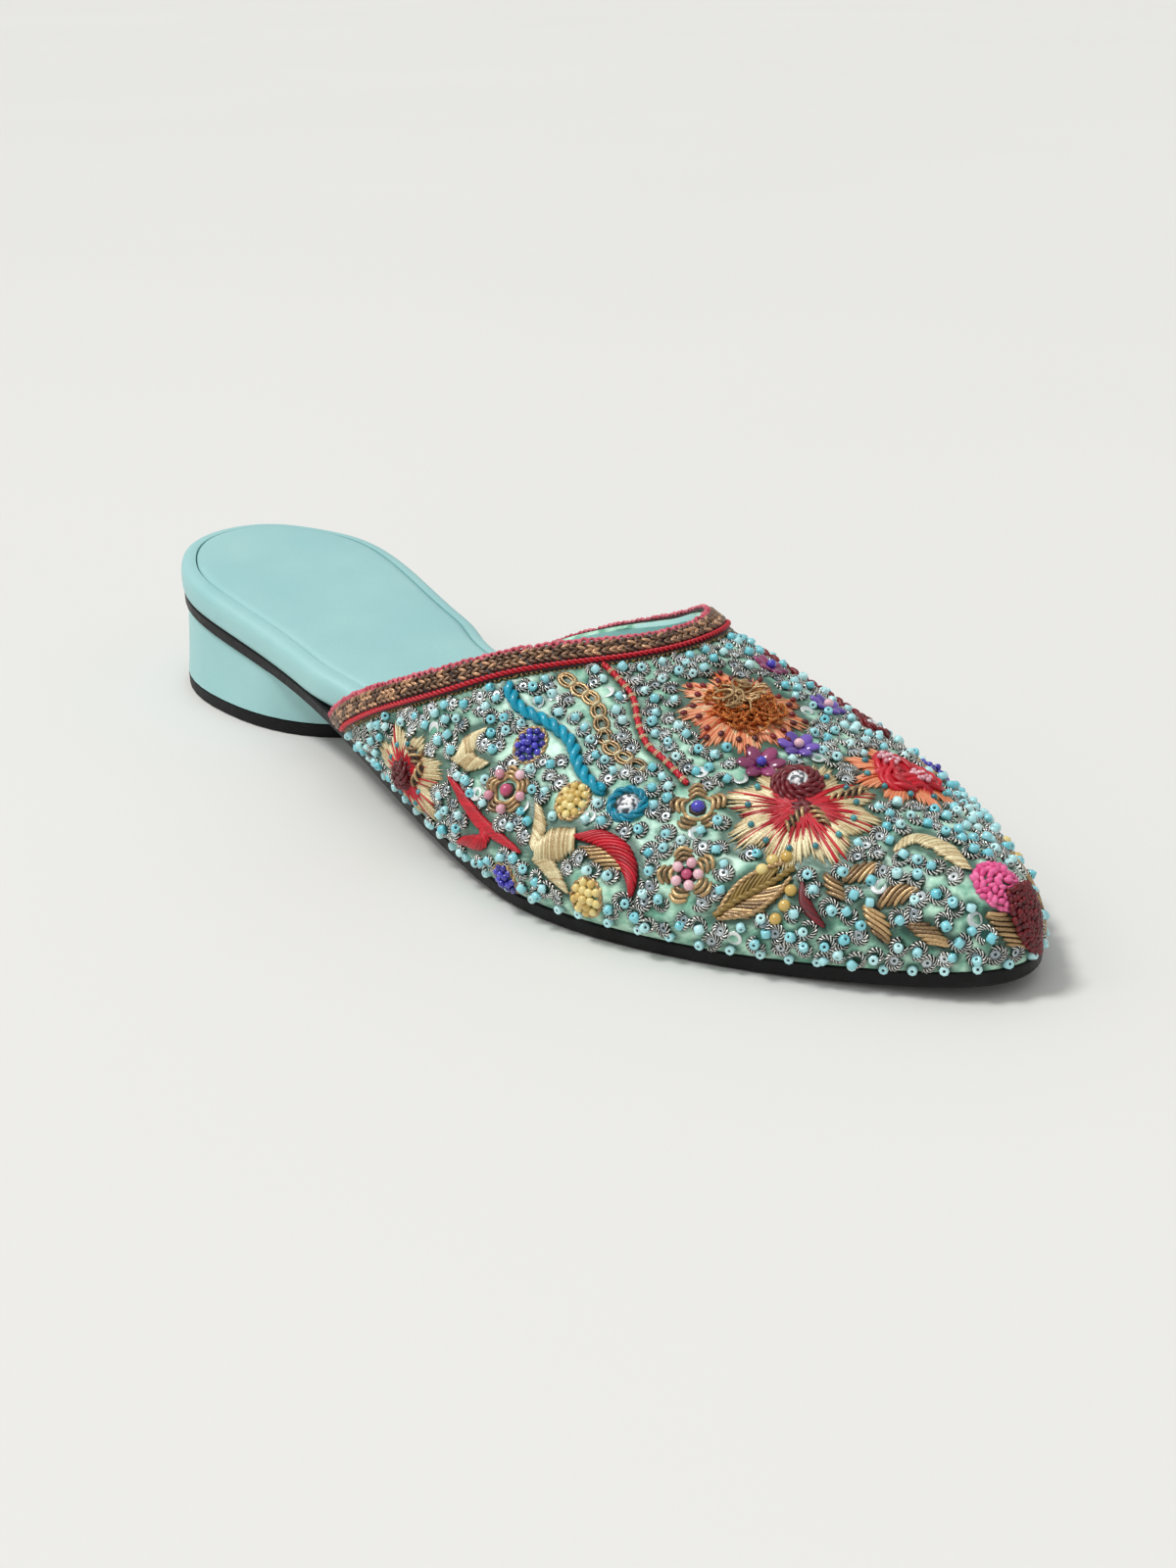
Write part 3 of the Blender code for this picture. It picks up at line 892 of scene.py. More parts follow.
def crossing(shape, gap, dome, slant=0.0, radius=0.24 * MM, ragged=0.05):
    """Threads across a blade."""
    runs = []
    length = sum((b - a).length for a, b in zip(shape[0], shape[0][1:]))
    count = max(3, int(length / gap))
    for share in (np.arange(count) + 0.5) / count:
        ends = np.array((-1.0, 1.0)) * (1 + chance.uniform(-ragged, ragged, 2))
        line = []
        for part in np.linspace(0, 1, 7):
            side = ends[0] + (ends[1] - ends[0]) * part
            lift = dome * math.sqrt(max(0.0, 1 - (side * 0.96) ** 2)) + THREAD_LIFT
            line.append(on_blade(shape, share + slant * side / max(length / MM, 1.0), side, lift))
        runs.append((*parted(line), radius, chance.uniform(0, 1)))
    return take_runs(runs)


def lengthwise(shape, gap, dome, radius, ragged=0.08):
    """Threads that run down a blade."""
    runs = []
    widest = float(max(shape[2]))
    count = max(3, int(2 * widest / gap))
    for side in (np.arange(count) + 0.5) / count * 2 - 1:
        first = chance.uniform(0, ragged)
        last = 1.0 - chance.uniform(0, ragged)
        lift = dome * math.sqrt(max(0.0, 1 - side**2)) + THREAD_LIFT
        line = [on_blade(shape, share, side, lift) for share in np.linspace(first, last, 8)]
        runs.append((*parted(line), radius, chance.uniform(0, 1)))
    return runs


# %% Rays and rings
def direction_at(ahead, outward, angle, long=1.0):
    """The direction in the satin at an angle from ahead, and longer or shorter that way."""
    return ahead * math.cos(angle) * long + outward.cross(ahead) * math.sin(angle)


def rays(place, outward, ahead, count, reach, start, dome, radius, short):
    """Threads that radiate from a place: reach says how far they go at an angle, short the least share."""
    runs = []
    for angle in (np.arange(count) + 0.5) / count * FULL_TURN:
        angle += chance.uniform(-0.3, 0.3) * FULL_TURN / count
        direction = direction_at(ahead, outward, angle)
        far = reach(angle) * (short + (1.03 - short) * chance.uniform(0, 1) ** (1.0 if short > 0.6 else 1.6))
        near = start * chance.uniform(0.8, 1.3)
        line = []
        for part in np.linspace(0, 1, 7):
            out = near + (far - near) * part
            lift = dome * math.sin(math.pi * min(1.0, 0.25 + 0.75 * part)) + THREAD_LIFT
            line.append(settled(place + direction * out + outward * 0.5 * MM, lift))
        runs.append((*parted(line), radius, chance.uniform(0, 1)))
    return take_runs(runs)


def petals(radius, count, depth, turn=0.0, wide=1.0):
    """How far a flower of pointed petals reaches at an angle."""
    def reach(angle):
        point = abs(math.cos((angle + turn) * count / 2))
        return radius * (1 - depth + depth * point**1.5) * math.hypot(math.cos(angle) * wide, math.sin(angle))
    return reach


def ring_round(place, outward, radius, height=0.4 * MM, long=1.0, ahead=None, count=24, wave=0.0):
    """A closed line round a place on the satin."""
    ahead = ahead or outward.orthogonal().normalized()
    line = []
    for angle in np.linspace(0, FULL_TURN, count):
        out = direction_at(ahead, outward, angle, long) * (1 + wave * math.sin(3 * angle + 1))
        line.append(settled(place + out * radius + outward * 0.5 * MM, height))
    return parted(line)


def circle_of(place, outward, radius, count, size, height, turn=0.0, long=1.0, ahead=None):
    """Spots for small shapes in a ring."""
    ahead = ahead or outward.orthogonal().normalized()
    spots = []
    for angle in turn + np.arange(count) / count * FULL_TURN:
        out = direction_at(ahead, outward, angle, long)
        spot, way = settled(place + out * radius + outward * 0.5 * MM, height)
        spots.append((spot, way, out, np.array(size) * MM, chance.uniform(0, 1)))
    return spots


# %% [markdown]
# The motifs are listed with what each is made of, and gathered by finish: all gold threads become one piece,
# all red silk another. Their pixels are places in the picture, of the near shoe for the outer side and of
# the far shoe for the inner side.

# %% Baskets for threads and small shapes
THREADS = ("gold", "red", "maroon", "peach", "orange", "olive", "bronze", "gold coil", "teal", "padding")
SMALL_SHAPES = (
    "magenta", "curl", "pearl", "blue", "yellow", "crystal", "dot", "small teal", "link", "tie", "plum petal",
    "violet petal", "bud", "knot pink", "knot maroon", "orange coil", "white",
)
ROPE_LIFT = 0.7 * MM
runs_of = {name: [] for name in THREADS}
spots_of = {name: [] for name in SMALL_SHAPES}


def put(kind, place, outward, heading, size, tone=None, scale=1.0):
    """A small shape on its spot: its size in millimetres, and a tone by chance if none is given."""
    if tone is None:
        tone = chance.uniform(0, 1)
    spots_of[kind].append((place, outward, heading, np.array(size) * MM * scale, tone))


def wound(finish, line, outwards, spread, pitch, radius, least=0.2, most=0.9):
    """Two plies of silk or wire, wound round each other along a line."""
    for strand in twisted(line, outwards, spread, pitch):
        runs_of[finish].append((strand, outwards, radius, chance.uniform(least, most)))


def tipped(outward, heading, most):
    """The way out, tipped by chance along a heading."""
    return (outward + heading * chance.uniform(-most, most)).normalized()


def gold_blade(eye, pixels, widths, slant=1.2, dome=0.55 * MM):
    """A blade of fine gold threads."""
    runs_of["gold"] += crossing(blade(eye, pixels, widths), 0.28 * MM, dome, slant, 0.18 * MM, ragged=0.14)


def silk_blade(eye, pixels, widths, finish="red"):
    """A blade of silk threads."""
    runs_of[finish] += crossing(blade(eye, pixels, widths), 0.36 * MM, 0.6 * MM, 2.0)


def coil_leaf(eye, pixels, width, finish="bronze", slant=2.2, radius=0.38 * MM, lift=0.0):
    """A leaf of short lengths of coiled wire laid aslant over a padding, dark as painted shade between the
    wires.
    """
    leaf = blade(eye, pixels, (width * 0.55, width, width, width * 0.55))
    dome = 0.6 * MM + lift
    # painted shade: the dark padding shows in the gaps between the wires
    runs_of["padding"] += lengthwise((leaf[0], leaf[1], leaf[2] * 0.75), 0.5 * MM, dome - 0.4 * MM, 0.36 * MM)
    runs_of[finish] += crossing(leaf, 1.2 * MM, dome, slant, radius, ragged=0.1)


def cluster(eye, pixel, beads, radius, count, size):
    """A little heap of glass beads inside a twisted wire."""
    place, outward = eye.at(*pixel)
    ahead = Vector((0, 0, 1)).cross(outward).cross(outward).normalized()
    take([place], radius * 1.25)
    put(beads, place + outward * 1.6 * MM, outward, ahead, size, 0.5)
    for share, number in ((0.5, int(count * 0.4)), (0.98, int(count * 0.6))):
        height = (1.3 - share * 0.6) * MM
        ring = circle_of(place, outward, radius * share * 0.8, number, size, height, share * 5, 1.25, ahead)
        spots_of[beads] += ring
    line, outs = ring_round(place, outward, radius, 0.45 * MM, 1.25, ahead, 40)
    wound("gold coil", line, outs, 0.30 * MM, 2.4 * MM, 0.30 * MM, 0.3, 1)


def loop_flower(eye, pixel, radius, heart, heart_size, pearls=0.86):
    """Five petals of coiled wire round a bead, with small pearls between them or close to the bead."""
    place, outward = eye.at(*pixel)
    ahead = outward.orthogonal().normalized()
    take([place], radius)
    for number in range(5):
        angle = number / 5 * FULL_TURN + 0.3
        direction = Matrix.Rotation(angle, 3, outward) @ ahead
        beside = outward.cross(direction)
        for step in (0.42, 0.64, 0.86):
            start = place + direction * radius * step - beside * radius * 0.35
            stop = place + direction * radius * step + beside * radius * 0.35
            line = []
            for part in np.linspace(0, 1, 6):
                arch = math.sin(math.pi * part)
                bent = start.lerp(stop, part) + direction * radius * 0.2 * arch
                line.append(settled(bent + outward * 0.5 * MM, 0.3 * MM + 0.7 * MM * arch))
            runs_of["bronze"].append((*parted(line), 0.42 * MM, chance.uniform(0, 1)))
    # painted shade: a dark padding ring round the heart bead
    line, outs = ring_round(place, outward, radius * 0.3, 0.3 * MM, count=18)
    runs_of["padding"].append((line, outs, 0.6 * MM, 0.5))
    if pearls:
        spots_of["pearl"] += circle_of(place, outward, radius * pearls, 5, (0.98, 0.98, 0.98), 1.1 * MM, 0.93)
    put(heart, place + outward * 0.9 * MM, outward, ahead, heart_size, 0.7)


def cup_flower(eye, pixel, radius, petal, heart):
    """Cupped translucent petals round a bead."""
    place, outward = eye.at(*pixel)
    take([place], radius * 0.95)
    for spot, way, out, _, tone in circle_of(place, outward, radius * 0.58, 6, (1, 1, 1), 0.7 * MM):
        lean = (way - out * 0.3).normalized()
        spots_of[petal].append((spot, lean, out, np.array((radius * 0.44, radius * 0.34, 0.55 * MM)), tone))
    ahead = outward.orthogonal().normalized()
    put(heart, place + outward * 1.2 * MM, outward, ahead, (0.95, 0.95, 0.95), 0.8)


def stone(eye, pixel, radius, collar, height=1.2 * MM):
    """A faceted stone in a rolled collar of silk."""
    place, outward = eye.at(*pixel)
    ahead = Vector((1, 0, 0)) - outward * outward.x
    take([place], radius + 1.4 * MM)
    size = np.array((1, 1, 0.8)) * radius
    spots_of["crystal"].append((place + outward * height, outward, ahead.normalized(), size, 0.5))
    for lift, out in ((0.35, 0.35), (0.75, 0.15)):
        line, outs = ring_round(place, outward, radius + out * MM + 0.5 * MM, lift * MM + 0.3 * MM, count=48)
        wound(collar, line, outs, 0.36 * MM, 4.2 * MM, 0.42 * MM)
    return place, outward


def rope(eye, pixels, spread, radius, pitch, finish):
    """A twisted cord along a line."""
    places, outwards = seen_line(eye, pixels, 0.6)
    take(places[::2], spread + radius + 0.4 * MM)
    raised = [place + outward * ROPE_LIFT for place, outward in zip(places, outwards)]
    wound(finish, raised, outwards, spread, pitch, radius, 0.3)


def bud(eye, pixel):
    """A round bud of glass."""
    place, outward = eye.at(*pixel)
    put("bud", place + outward * 0.8 * MM, outward, outward.orthogonal(), (1.1, 1.1, 1.0))
    take([place], 1.3 * MM)


def stops_along(places, first, gap, after=0.0):
    """Even stops along a line: the index there, the heading, and the index a bit after the stop."""
    far = np.append(0, np.cumsum([(b - a).length for a, b in zip(places, places[1:])]))
    for wanted in np.arange(first, far[-1], gap):
        index = min(int(np.searchsorted(far, wanted)), len(places) - 2)
        heading = (places[index + 1] - places[index]).normalized()
        yield index, heading, min(int(np.searchsorted(far, wanted + after)), len(places) - 1)


def chain(eye, pixels):
    """Links of doubled bronze wire, tied across where they meet."""
    gap = 3.3 * MM
    places, outwards = seen_line(eye, pixels, 0.5)
    take(places[::2], 1.5 * MM)
    for index, heading, joint in stops_along(places, gap / 2, gap, gap / 2):
        for share in (1.0, 0.5):
            size = np.array((gap * 0.56 * (0.6 + 0.4 * share), 1.35 * MM * share, 0.85 * MM))
            spot = places[index] + outwards[index] * 0.5 * MM
            spots_of["link"].append((spot, outwards[index], heading, size, chance.uniform(0, 1)))
        across = outwards[joint].cross(heading)
        spot = places[joint] + outwards[joint] * 0.7 * MM
        put("tie", spot, outwards[joint], across, (0.85, 0.26, 0.5), 0.8)


def tied_cord(eye, pixels):
    """A red cord held down by little gold ties."""
    gap = 2.6 * MM
    places, outwards = seen_line(eye, pixels, 0.5)
    take(places[::2], 1.1 * MM)
    raised = [place + outward * 0.45 * MM for place, outward in zip(places, outwards)]
    for strand in twisted(raised, outwards, 0.30 * MM, 2.2 * MM):
        runs_of["red"].append((strand, outwards, 0.42 * MM, 0.6))
    for index, heading, _ in stops_along(places, gap, gap):
        across = outwards[index].cross(heading)
        for shift in (-0.2, 0.2):
            spot = raised[index] + heading * shift * MM + outwards[index] * 0.1 * MM
            put("tie", spot, outwards[index], across, (0.86, 0.15, 0.62), 0.5)


# %% The flowers
def rayed_flower(eye, pixel, radius, count, inner, outer, turn=0.0, depth=0.3, dome=1.0 * MM, threads=150,
                 wide=1.0):
    """Long and short stitch: threads of one colour from the heart, and gold ones beyond them."""
    place, outward = eye.at(*pixel)
    ahead = (Vector((1, 0, 0)) - outward * outward.x).normalized()
    shape = petals(radius, count, depth, turn, wide)
    many, few = int(threads * 1.7), int(threads * 0.5)
    runs_of[outer] += rays(place, outward, ahead, many, shape, radius * 0.25, dome * 0.7, 0.2 * MM, 0.8)
    for thick, short in ((0.19 * MM, 0.4), (0.24 * MM, 0.2)):
        runs_of[inner] += rays(place, outward, ahead, few, shape, radius * 0.06, dome, thick, short)
    return place, outward, ahead, shape


# dark red flower at the outer corner of the opening
place, outward, ahead, shape = rayed_flower(
    OUTER_SIDE, (290, 1203), 9.4 * MM, 7, "red", "gold", 0.5, 0.34, 1.1 * MM, 190, 1.45
)
spots_of["small teal"] += circle_of(place, outward, 6.0 * MM, 10, (0.6, 0.6, 0.6), 1.0 * MM, 0.2)
heart_rays = rays(place, outward, ahead, 60, lambda angle: 4.4 * MM, 0.1 * MM, 1.9 * MM, 0.34 * MM, 0.6)
runs_of["maroon"] += heart_rays
for radius in (1.1, 2.1):
    line, outs = ring_round(place, outward, radius * MM, 2.1 * MM, count=30)
    runs_of["maroon"] += [(strand, outs, 0.5 * MM, 0.3) for strand in twisted(line, outs, 0.4 * MM, 3.4 * MM)]
coil_leaf(OUTER_SIDE, [(294, 1183), (300, 1196)], 2.6, "bronze", 1.0, 0.32 * MM, 1.4 * MM)
coil_leaf(OUTER_SIDE, [(303, 1196), (297, 1210)], 2.4, "bronze", 1.0, 0.32 * MM, 1.2 * MM)
# two-lobed gold leaf
gold_blade(OUTER_SIDE, [(347, 1168), (336, 1177), (324, 1194)], (0.8, 4.2, 2.0))
gold_blade(OUTER_SIDE, [(322, 1190), (336, 1193), (348, 1194)], (1.2, 4.2, 0.8))
# forked red stem
silk_blade(OUTER_SIDE, [(320, 1204), (334, 1226), (346, 1240), (372, 1258)], (0.6, 2.4, 3.0, 2.1, 0.5))
silk_blade(OUTER_SIDE, [(345, 1236), (344, 1251), (326, 1251)], (1.6, 3.1, 3.2, 0.9))
cluster(OUTER_SIDE, (378, 1179), "blue", 3.0 * MM, 17, (0.72, 0.72, 0.7))
cluster(OUTER_SIDE, (362, 1278), "blue", 2.9 * MM, 17, (0.72, 0.72, 0.7))
loop_flower(OUTER_SIDE, (362, 1213), 4.3 * MM, "magenta", (1.25, 1.25, 1.15))
cluster(OUTER_SIDE, (409, 1218), "yellow", 3.0 * MM, 15, (0.85, 0.85, 0.75))
cluster(OUTER_SIDE, (420, 1289), "yellow", 3.0 * MM, 15, (0.85, 0.85, 0.75))
# teal cord and its stone
teal_line = [
    (361, 1136), (367, 1148), (375, 1155), (392, 1163), (406.5, 1175), (412, 1190), (419, 1202), (431, 1211)
]
rope(OUTER_SIDE, teal_line, 0.62 * MM, 0.72 * MM, 5.4 * MM, "teal")
stone(OUTER_SIDE, (448, 1219), 2.3 * MM, "teal")
chain_line = [(398, 1127), (411, 1136.5), (423, 1146), (428.5, 1163), (434, 1177), (450, 1188), (458, 1193)]
chain(OUTER_SIDE, chain_line)
red_cord = [(427, 1117), (440, 1129), (450, 1142), (454, 1159.5), (461, 1175), (474, 1186), (490, 1202)]
tied_cord(OUTER_SIDE, red_cord)
loop_flower(OUTER_SIDE, (498, 1219), 4.6 * MM, "blue", (1.25, 1.25, 1.15), 0)
loop_flower(OUTER_SIDE, (492, 1268.5), 4.8 * MM, "magenta", (1.0, 1.0, 1.0), 0.44)
# gold tulip leaf with its red crescent
gold_blade(OUTER_SIDE, [(383, 1219), (385, 1238), (381, 1256)], (0.6, 3.2, 2.6))
gold_blade(OUTER_SIDE, [(383, 1258), (397, 1251), (412, 1245)], (3.4, 7.4, 4.4), 0.8, 0.9 * MM)
gold_blade(OUTER_SIDE, [(384, 1258), (394, 1270), (406.5, 1286)], (3.8, 3.6, 0.6))
crescent_line = [(412, 1244), (430, 1245), (444, 1254), (452, 1270), (452, 1286)]
crescent = blade(OUTER_SIDE, crescent_line, (1.0, 3.4, 3.8, 2.8, 0.6))
runs_of["maroon"] += crossing(crescent, 0.4 * MM, 0.6 * MM, 3.2, 0.26 * MM)
runs_of["red"] += crossing(crescent, 1.1 * MM, 1.0 * MM, 3.2, 0.38 * MM)
gold_bars = blade(OUTER_SIDE, [(415, 1251), (430, 1258), (444, 1268)], (1.6, 3.4, 3.0))
runs_of["bronze"] += crossing(gold_bars, 1.35 * MM, 0.4 * MM, 2.4, 0.34 * MM)
print("outer side laid, threads so far:", sum(len(runs) for runs in runs_of.values()))

# %% Flowers on the top
# peach flower under the peak of the opening
place, outward, ahead, shape = rayed_flower(
    OUTER_SIDE, (527, 1147), 13.2 * MM, 9, "orange", "peach", 0.0, 0.24, 1.0 * MM, 230
)
runs_of["gold"] += rays(place, outward, ahead, 90, shape, 5.5 * MM, 0.85 * MM, 0.17 * MM, 0.6)
# its heart is a mound of loops of orange coil, with bronze curls on top
for _ in range(120):
    angle, radius = chance.uniform(0, FULL_TURN), 6.4 * math.sqrt(chance.uniform(0, 1)) * MM
    out = direction_at(ahead, outward, angle, 1.1)
    spot, way = settled(place + out * radius + outward * MM, (2.7 - radius / MM * 0.2) * MM)
    turned = Matrix.Rotation(chance.uniform(0, 6.28), 3, way) @ out
    tilt = tipped(way, turned, 0.9)
    put("orange coil", spot, tilt, turned, (1.4, 1.0, 1.1))
for _ in range(18):
    angle, radius = chance.uniform(0, FULL_TURN), 3.6 * math.sqrt(chance.uniform(0, 1)) * MM
    out = direction_at(ahead, outward, angle)
    spot = place + out * radius - ahead * 1.8 * MM + outward * chance.uniform(3.0, 3.8) * MM
    tilt = tipped(outward, out, 0.8)
    scale = chance.uniform(0.8, 1.2)
    put("curl", spot, tilt, out, (1.9, 1.1, 1.3), chance.uniform(0.4, 1), scale)
for angle in np.arange(9) / 9 * FULL_TURN:
    for turn, far in ((-0.16, 9.4), (0.16, 9.0), (0.0, 11.4)):
        out = direction_at(ahead, outward, angle + turn)
        spot, way = settled(place + out * far * MM + outward * MM, 1.0 * MM)
        put("dot", spot, way, out, (0.7, 0.62, 0.45))
# large red flower with a stone in its rose
place, outward, ahead, shape = rayed_flower(
    OUTER_SIDE, (571, 1217), 14.6 * MM, 8, "red", "gold", 0.35, 0.26, 1.3 * MM, 300
)
spots_of["small teal"] += circle_of(place, outward, 9.4 * MM, 13, (0.62, 0.62, 0.6), 1.3 * MM, 0.1)
rose, rose_out = stone(OUTER_SIDE, (567, 1200), 2.1 * MM, "maroon", 2.9 * MM)
for radius, lift in ((2.4, 2.1), (3.3, 1.7), (4.1, 1.2)):
    line, outs = ring_round(rose, rose_out, radius * MM, lift * MM, count=48)
    wound("maroon", line, outs, 0.42 * MM, 3.4 * MM, 0.5 * MM)
heart_rays = rays(place, outward, ahead, 44, lambda angle: 3.4 * MM, 0.05 * MM, 1.6 * MM, 0.3 * MM, 0.5)
runs_of["maroon"] += heart_rays
coil_leaf(OUTER_SIDE, [(561, 1234), (566, 1226), (573, 1219)], 2.8, "bronze", 1.2, 0.32 * MM, 1.3 * MM)
coil_leaf(OUTER_SIDE, [(589, 1230), (583, 1223), (577, 1217)], 2.6, "bronze", 1.2, 0.32 * MM, 1.3 * MM)
coil_leaf(OUTER_SIDE, [(590, 1210), (603, 1206), (613, 1202)], 2.2, "bronze", 1.2, 0.30 * MM, 1.2 * MM)
cup_flower(OUTER_SIDE, (541, 1185), 4.4 * MM, "plum petal", "blue")
cup_flower(OUTER_SIDE, (566, 1171), 3.9 * MM, "violet petal", "pearl")
# gold crescent, twisted leaves and the sprig with yellow buds
gold_blade(OUTER_SIDE, [(636, 1243), (650, 1233), (671, 1239), (689, 1254)], (1.0, 3.4, 4.2, 1.4))
for pixels, width, slant in (
    ([(602, 1264), (616, 1259), (628, 1255)], 3.8, 2.6),
    ([(627, 1281), (640, 1274), (655, 1271)], 3.8, 2.6),
    ([(591, 1262), (596, 1272), (603, 1281)], 2.8, 2.2),
    ([(620, 1283), (627, 1294), (635, 1310)], 3.4, 2.6),
    ([(650, 1294), (664, 1301), (677, 1310)], 3.2, 2.6),
):
    coil_leaf(OUTER_SIDE, pixels, width, slant=slant)
silk_blade(OUTER_SIDE, [(574, 1269), (576, 1284), (590, 1301)], (1.0, 2.2, 0.8), "maroon")
stem = [(512, 1297), (530, 1284), (552, 1271), (568, 1259)]
rope(OUTER_SIDE, stem, 0.30 * MM, 0.42 * MM, 2.6 * MM, "olive")
for wire_line in (
    [(514, 1296), (526, 1276), (541, 1264), (560, 1256)],
    [(514, 1299), (536, 1295), (552, 1284), (566, 1266)],
):
    rope(OUTER_SIDE, wire_line, 0.24 * MM, 0.32 * MM, 2.2 * MM, "gold coil")
coil_leaf(OUTER_SIDE, [(518, 1290), (534, 1276), (556, 1262)], 3.4, "olive", 3.0, 0.36 * MM)
coil_leaf(OUTER_SIDE, [(520, 1297), (540, 1288), (560, 1272)], 3.4, "bronze", -3.0, 0.36 * MM)
for pixel in ((545, 1262), (552, 1255), (562, 1252), (566, 1276), (562, 1287), (556, 1297)):
    bud(OUTER_SIDE, pixel)

# %% The toe
# a bud of pink knots over a dark petal, with coiled leaves on both sides
place, outward = OUTER_SIDE.at(711, 1264)
ahead = (OUTER_SIDE.at(742, 1311)[0] - place).normalized()
take([place], 5.6 * MM)
for radius, number in ((0.0, 2), (1.2, 9), (2.3, 16), (3.4, 22), (4.4, 26)):
    height = (2.2 - radius * 0.36) * MM
    ring = circle_of(place, outward, radius * MM, number, (1, 1, 1), height, radius, 1.1)
    for spot, way, out, _, tone in ring:
        turned = Matrix.Rotation(chance.uniform(0, 6.28), 3, way) @ out
        tilt = tipped(way, turned, 0.6)
        spot = spot + turned * chance.uniform(-0.3, 0.3) * MM
        put("knot pink", spot, tilt, turned, (0.85, 0.56, 0.6), tone, chance.uniform(0.8, 1.2))
toe_petal_line = [(718, 1267), (726, 1281), (732, 1295), (737, 1309)]
toe_petal = blade(OUTER_SIDE, toe_petal_line, (5.6, 7.8, 6.8, 1.8))
take(toe_petal[0], 2.6 * MM)
for share in np.linspace(0.02, 0.98, 24):
    for side in np.linspace(-0.92, 0.92, 11):
        along = share + chance.uniform(-0.02, 0.02)
        aside = side + chance.uniform(-0.08, 0.08)
        spot, way = on_blade(toe_petal, along, aside, (2.9 - 1.6 * share - 0.6 * side * side) * MM)
        put("knot maroon", spot, way, way.orthogonal(), (0.55, 0.45, 0.55))
coil_leaf(OUTER_SIDE, [(705, 1283), (716, 1292), (731, 1308)], 4.0, "bronze", 2.4)
coil_leaf(OUTER_SIDE, [(738, 1268), (745, 1282), (748, 1300)], 2.8, "bronze", 2.0)
print("top and toe laid, threads so far:", sum(len(runs) for runs in runs_of.values()))

# %% The inner side
place, outward, ahead, shape = rayed_flower(INNER_SIDE, (590, 1120), 8.2 * MM, 6, "maroon", "gold", 0.2)
spots_of["small teal"] += circle_of(place, outward, 5.4 * MM, 9, (0.62, 0.62, 0.62), 0.9 * MM, 0.2)
stone(INNER_SIDE, (585, 1124), 1.8 * MM, "maroon", 2.1 * MM)
gold_blade(INNER_SIDE, [(640, 1112), (626, 1104), (618, 1092)], (0.8, 3.4, 1.0))
silk_blade(INNER_SIDE, [(615, 1118), (628, 1140), (636, 1162)], (0.6, 2.2, 1.4), "maroon")
coil_leaf(INNER_SIDE, [(620, 1120), (638, 1144), (654, 1164)], 1.9, "bronze", 2.0, 0.32 * MM)
cluster(INNER_SIDE, (651, 1083), "blue", 2.7 * MM, 13, (0.62, 0.62, 0.62))
cup_flower(INNER_SIDE, (708, 1078), 3.8 * MM, "plum petal", "blue")
cup_flower(INNER_SIDE, (675.5, 1110), 3.8 * MM, "plum petal", "blue")
cup_flower(INNER_SIDE, (737, 1106), 3.8 * MM, "violet petal", "pearl")
maroon_line = [(680, 1074), (684, 1088), (690, 1101), (706, 1115), (722, 1127)]
rope(INNER_SIDE, maroon_line, 0.5 * MM, 0.62 * MM, 4.6 * MM, "maroon")
stone(INNER_SIDE, (730, 1132), 2.4 * MM, "maroon")
gold_blade(INNER_SIDE, [(656, 1132), (668, 1149), (678, 1170), (686, 1184)], (1.0, 2.6, 2.8, 1.0))
gold_blade(INNER_SIDE, [(690, 1152), (690, 1168), (682, 1182)], (0.8, 2.4, 1.0))
silk_blade(INNER_SIDE, [(684, 1131), (698, 1137), (708, 1155), (721, 1172)], (1.0, 1.9, 1.8, 0.8))
teal_line = [(697, 1172), (716, 1188), (746, 1200), (783, 1215), (815, 1240)]
rope(INNER_SIDE, teal_line, 0.55 * MM, 0.65 * MM, 5.0 * MM, "teal")
chain(INNER_SIDE, [(690, 1184), (705, 1198), (726, 1207), (752, 1220), (776, 1233)])
cluster(INNER_SIDE, (754, 1168), "blue", 3.0 * MM, 14, (0.66, 0.66, 0.66))
gold_blade(INNER_SIDE, [(772, 1196), (783, 1206), (797, 1210)], (0.8, 2.8, 0.8))
place, outward, ahead, shape = rayed_flower(
    INNER_SIDE, (817, 1142), 11.5 * MM, 8, "orange", "peach", 0.2, 0.38, 1.2 * MM, 210
)
spots_of["small teal"] += circle_of(place, outward, 7.6 * MM, 10, (0.66, 0.66, 0.6), 1.1 * MM, 0.4)
runs_of["red"] += rays(place, outward, ahead, 110, lambda angle: 7.4 * MM, 0.4 * MM, 1.9 * MM, 0.32 * MM, 0.7)
for radius, lift in ((3.0, 2.0), (4.2, 1.7), (5.4, 1.3)):
    line, outs = ring_round(place, outward, radius * MM, lift * MM, count=48, wave=0.24)
    wound("red", line, outs, 0.5 * MM, 7.5 * MM, 0.62 * MM)
for turn, far in ((0.3, 2.6), (3.4, 4.2)):
    out = direction_at(ahead, outward, turn)
    middle = place + out * far * MM
    for wide in (1.0, 1.7):
        size = (0.55, 0.55, 0.55)
        spots_of["white"] += circle_of(middle, outward, wide * MM, int(4 * wide), size, 2.6 * MM, turn)
coil_leaf(INNER_SIDE, [(822, 1232), (836, 1214), (846, 1196)], 4.2, "olive", 3.0, 0.36 * MM)
for pixel in ((826, 1206), (845, 1212), (850, 1224)):
    bud(INNER_SIDE, pixel)
coil_leaf(INNER_SIDE, [(858, 1188), (880, 1205), (898, 1224), (916, 1244)], 3.0, "bronze", 2.6)
silk_blade(INNER_SIDE, [(858, 1214), (867, 1222), (880, 1234)], (0.8, 2.8, 0.8), "red")
print("inner side laid, threads so far:", sum(len(runs) for runs in runs_of.values()))

# %% [markdown]
# Now the threads and small shapes become pieces. A stone is a shallow cone of facets with a flat table,
# shaded flat so each facet keeps its own glint.


